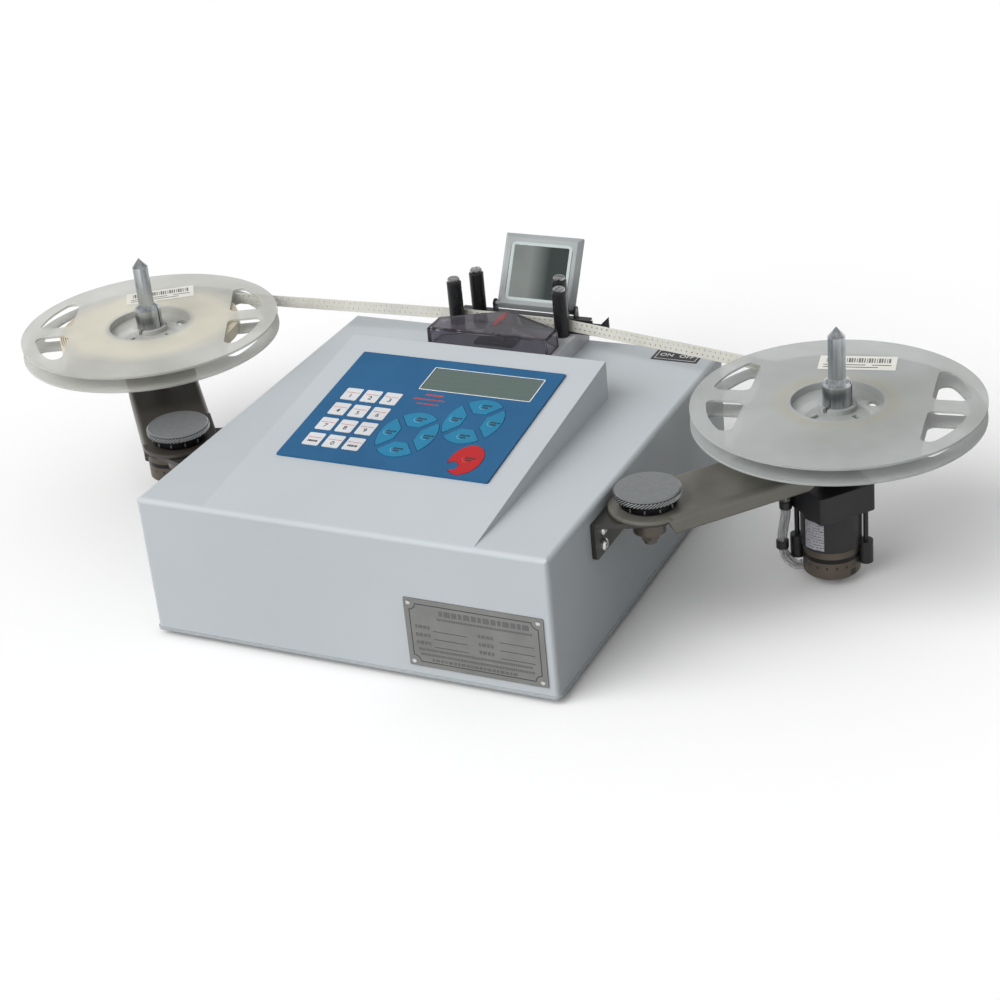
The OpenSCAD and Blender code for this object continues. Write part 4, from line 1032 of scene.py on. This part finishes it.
# Rear: marks on the rocker, heads of the inlet's two screws
ROCKER_MARK = 3.4 * MM
ROCKER_LEAST = 20 * MM * MM
ROCKER_FACING = 0.8
INLET_SCREW = (2.7 * MM, 1.1 * MM)
INLET_SCREWS_X = (-20, 20)
INLET_SCREW_UP = 1.5
flats = [p for p in nodes["power_rocker"].data.polygons if p.normal.y > ROCKER_FACING]
flats = [p for p in flats if p.area > ROCKER_LEAST]
for word, sign in (("I", 1), ("O", -1)):
    half = [p for p in flats if sign * p.normal.z < 0 or len(flats) == 1]
    place = seat(centre_of(half), half[0].normal, (-1, 0, 0))
    piece(f"rocker_mark_{word}", *lettering(word, ROCKER_MARK, place), white_ink, "rocker_unit")
inlet_low, inlet_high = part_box("power_inlet")
inlet_middle = (inlet_low + inlet_high) / 2
inlet_place = seat((inlet_middle.x, inlet_high.y, inlet_middle.z), (0, 1, 0), (-1, 0, 0))
heads = [rivet(*INLET_SCREW, shifted(inlet_place, x, INLET_SCREW_UP)) for x in INLET_SCREWS_X]
piece("inlet_screws", *joined(heads), bright_steel, "housing", smooth=True)


# Tape: the run between the reels in three lengths, and the turns wound on the reels
tape_low, tape_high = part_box("carrier_tape")
TAPE_T = 0.9 * MM
TAPE_W = tape_high.z - tape_low.z
TAPE_ROW = 4.5 * MM
TAPE_PITCH = 4 * MM
HOLE_R = 0.6 * MM
HOLE_SIDES = 8
HOLE_START = 202.5
HOLE_SHARE = 0.25
HOLE_UP = 6.25 * MM
POCKET_SHARE = 0.75
POCKET = (0.45 * MM, 0.55 * MM)
POCKET_UP = 2.6 * MM
WIND_R = {"left": 63 * MM, "right": 35 * MM}
WIND_PITCH = 1.4 * MM
WIND_TURNS = {"left": 22, "right": 3}
WIND_STEPS = 60
SLIDE_GAP = 0.3 * MM
LIFT = SLIDE_GAP + TAPE_T / 2
ROLLER_R = 5 * MM
ROLLER_STEPS = 4
REEL_TURN = 50
REEL_STEPS = 12


def rear_normal(c1, r1, c2, r2):
    """Normal of the line that touches the rear of two circles."""
    along = (c2 - c1).normalized()
    share = (r1 - r2) / (c2 - c1).length
    return along * share + Vector((-along.y, along.x)) * math.sqrt(1 - share * share)


def tape_strip(stations):
    """A closed strip through stations of (point, rear normal, holed after it)."""
    parts = []
    for (p, n, holed), (q, m, _) in zip(stations, stations[1:]):
        length = (q - p).length

        def spot(x, y, side):
            share = x / length
            at = p.lerp(q, share) + side * TAPE_T / 2 * n.lerp(m, share)
            return Vector((at.x, at.y, tape_low.z + y))

        rows = (0, TAPE_ROW, TAPE_W)
        patches = [[(0, a), (length, a), (length, b), (0, b)] for a, b in zip(rows, rows[1:])]
        pocket_at = POCKET_SHARE * length
        pocket = [(pocket_at + x * POCKET[0], POCKET_UP + y * POCKET[1]) for x, y in SQUARE]
        hole = circle_points(HOLE_R, HOLE_SIDES, HOLE_START, (HOLE_SHARE * length, HOLE_UP))
        for side in (-1, 1):
            if not holed:
                for patch in patches:
                    parts.append(([spot(x, y, side) for x, y in patch], [(0, 1, 2, 3)[::-side]]))
                continue
            ring = [(i, (i + 1) % 4, 4 + (i + 1) % 4, 4 + i)[::-side] for i in range(4)]
            parts.append(([spot(x, y, side) for x, y in patches[0] + pocket], ring))
            ring = [(i, (i + 1) % 4, 4 + (2 * i + 2) % 8, 4 + 2 * i + 1)[::-side] for i in range(4)]
            ring += [(i, 4 + 2 * i + 1, 4 + 2 * i)[::-side] for i in range(4)]
            parts.append(([spot(x, y, side) for x, y in patches[1] + hole], ring))
        if holed:
            for outline in (pocket, hole):
                k = len(outline)
                wall = [spot(x, y, side) for side in (-1, 1) for x, y in outline]
                parts.append((wall, [(i, k + i, k + (i + 1) % k, (i + 1) % k) for i in range(k)]))
        for y in (0, TAPE_W):
            edge = [spot(x, y, side) for x, side in ((0, -1), (length, -1), (length, 1), (0, 1))]
            parts.append((edge, [(0, 1, 2, 3) if y else (3, 2, 1, 0)]))
    for (p, n, _), order in ((stations[0], 1), (stations[-1], -1)):
        for a, b in ((0, TAPE_ROW), (TAPE_ROW, TAPE_W)):
            end = [
                Vector((*(p + side * TAPE_T / 2 * n), tape_low.z + y))
                for side, y in ((-1, a), (1, a), (1, b), (-1, b))
            ]
            parts.append((end, [(0, 1, 2, 3)[::-order]]))
    return welded(parts)


def turned_stations(centre, radius, start, end, count):
    """Stations round a circle, angles in degrees."""
    return [
        (Vector(p), (Vector(p) - centre).normalized(), False)
        for p in arc_points(radius, start, end, count, centre)
    ]


def straight_stations(p, q, normal):
    """Stations from p to q, one for each pitch of the tape's holes."""
    count = round((q - p).length / TAPE_PITCH)
    return [(p.lerp(q, i / count), normal, True) for i in range(count + 1)]


def middle_of(name):
    low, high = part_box(name)
    return Vector(((low.x + high.x) / 2, (low.y + high.y) / 2))


circles = [
    (joint_at["left_reel_spin"].xy, WIND_R["left"] + LIFT),
    (middle_of("roller_front_left"), ROLLER_R + LIFT),
    (middle_of("roller_front_right"), ROLLER_R + LIFT),
    (joint_at["right_reel_spin"].xy, WIND_R["right"] + LIFT),
]
normals = [rear_normal(*a, *b) for a, b in zip(circles, circles[1:])]
leans = [math.degrees(math.atan2(n.y, n.x)) for n in normals]
spans = [
    straight_stations(a[0] + a[1] * n, b[0] + b[1] * n, n)
    for a, b, n in zip(circles, circles[1:], normals)
]
left_wrap = turned_stations(*circles[0], leans[0] + REEL_TURN, leans[0], REEL_STEPS)[:-1]
right_wrap = turned_stations(*circles[3], leans[2], leans[2] - REEL_TURN, REEL_STEPS)[1:]
over_left = turned_stations(*circles[1], leans[0], leans[1], ROLLER_STEPS)[:-1]
over_right = turned_stations(*circles[2], leans[1], leans[2], ROLLER_STEPS)[1:]
for span in spans[1:]:
    span[-1] = (*span[-1][:2], False)
runs = {
    "left": left_wrap + spans[0], "middle": over_left + spans[1] + over_right, "right": spans[2] + right_wrap,
}
for name, stations in runs.items():
    body = "housing" if name == "middle" else None
    run = piece(f"tape_{name}", *tape_strip(stations), tape_plastic, body, slot="tape_plastic")
    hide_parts("carrier_tape")
    if name != "middle":
        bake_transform(run)


def winding(side, lean, sense, material):
    """One spiral strip from the hub out to the turn under the run of tape."""
    centre, _ = circles[0 if side == "left" else 3]
    turns = WIND_TURNS[side]
    start = WIND_R[side] - TAPE_T - turns * WIND_PITCH
    count = turns * WIND_STEPS
    low, high = tape_low.z, tape_high.z
    corners = ((0, low), (TAPE_T, low), (TAPE_T, high), (0, high))
    loops = []
    for i in range(count + 1):
        turn = math.radians(lean + sense * 360 * (turns - i / WIND_STEPS))
        r = start + WIND_PITCH * i / WIND_STEPS
        ray = Vector((math.cos(turn), math.sin(turn)))
        loops.append([Vector((*(centre + ray * (r + t)), z)) for t, z in corners])
    strip = skin(loops, capped=True)
    made = piece(f"{side}_wound_tape", *strip, material, f"{side}_reel_unit", slot="tape_plastic")
    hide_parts(f"{side}_winding")


winding("left", leans[0], 1, wound_plastic)
winding("right", leans[2], -1, tape_plastic)

# The right motor's lead: wires in a clear sleeve along the CAD part's route, held by clips, ending in a plug;
# the route is in millimetres from the arm's pivot, X along the arm
LEAD_ROUTE = [
    (110.5, 9.5, 9), (107, 11.5, 9), (104, 14, 12), (101.5, 15.5, 17), (100.5, 16, 23), (100.5, 16, 30),
    (101.5, 15.5, 37), (102.5, 15, 44), (102.5, 14.5, 51), (102, 14, 58), (100.5, 13.5, 66), (98, 13, 74),
    (94, 12, 81), (88, 11, 85), (81, 10, 86), (72, 9, 86), (62, 8, 86), (54, 8, 86),
]
SLEEVE_R = 3.1 * MM
SLEEVE_BORE = 2.7 * MM
SLEEVE_SIDES = 14
WIRE_R = 0.65 * MM
WIRE_OFF = 1.2 * MM
WIRE_SIDES = 8
WIRE_TWIST = 60
WIRE_ASIDE = Vector((0.3, 1, 0.2))
WIRES = {"grey": (0.42, 0.43, 0.44), "brown": (0.20, 0.11, 0.07), "white": (0.62, 0.62, 0.60)}
LEAD_FINE = 5
PLUG_AT = (49 * MM, 8 * MM, 0)
PLUG_FORMS = ((12, 10, 1, 82.3, 88.3), (9, 11, 0.6, 83.6, 87))
CLIPS_Z = (24 * MM, 52 * MM)
CLIP_HALF = 2.5 * MM
CLIP_PLAY = 0.1 * MM
CLIP_WALL = 0.8 * MM
CLIP_TURN = (0, 342, 19)
arm_place = Matrix.Translation((*joint_at["right_arm_swing"].xy, 0))
arm_place = arm_place @ Matrix.Rotation(arm_turn["right"], 4, "Z")


def smooth_route(points, fine):
    """A Catmull-Rom curve through the points."""
    knots = [2 * points[0] - points[1]] + points + [2 * points[-1] - points[-2]]
    curve = []
    for a, b, c, d in zip(knots, knots[1:], knots[2:], knots[3:]):
        for i in range(fine):
            t = i / fine
            curve.append(0.5 * (2 * b + (c - a) * t + (2 * a - 5 * b + 4 * c - d) * t * t
                                + (3 * b - 3 * c + d - a) * t * t * t))
    return curve + [points[-1]]


route = smooth_route([arm_place @ (Vector(p) * MM) for p in LEAD_ROUTE], LEAD_FINE)
tube = sweep(route, SLEEVE_R, SLEEVE_SIDES, SLEEVE_BORE)
sleeve = piece("right_lead_sleeve", *tube, lead_sleeve, "right_arm_unit", smooth=True, slot="lead_sleeve")
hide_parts("right_motor_lead")
for k, (name, colour) in enumerate(WIRES.items()):
    strand = []
    for i, at in enumerate(route):
        axis = (route[min(i + 1, len(route) - 1)] - route[max(i - 1, 0)]).normalized()
        x = axis.cross(WIRE_ASIDE).normalized()
        turn = math.tau * (k / len(WIRES) + i / WIRE_TWIST)
        strand.append(at + WIRE_OFF * (math.cos(turn) * x + math.sin(turn) * axis.cross(x)))
    wire = moulded(f"wire_{name}", colour, 0.4)
    made = sweep(strand, WIRE_R, WIRE_SIDES)
    piece(f"right_lead_wire_{name}", *made, wire, "right_arm_unit", smooth=True, slot="lead_sleeve")
plug_place = arm_place @ Matrix.Translation(PLUG_AT)
forms = [[d * MM for d in form] for form in PLUG_FORMS]
plug = joined([prism(rounded(w, h, r), low, high, plug_place) for w, h, r, low, high in forms])
piece("right_lead_plug", *plug, black_plastic, "right_arm_unit", slot="lead_sleeve")
clips = []
for z in CLIPS_Z:
    near = min(route, key=lambda p: abs(p.z - z))
    spot = arm_place.inverted() @ near
    place = arm_place @ Matrix.Translation((spot.x, spot.y, 0))
    bore = arc_points(SLEEVE_R + CLIP_PLAY, *CLIP_TURN)
    circle = arc_points(SLEEVE_R + CLIP_PLAY + CLIP_WALL, *CLIP_TURN)
    clips.append(ring_band(circle, bore, z - CLIP_HALF, z + CLIP_HALF, place))
piece("right_lead_clips", *joined(clips), black_plastic, "right_arm_unit")
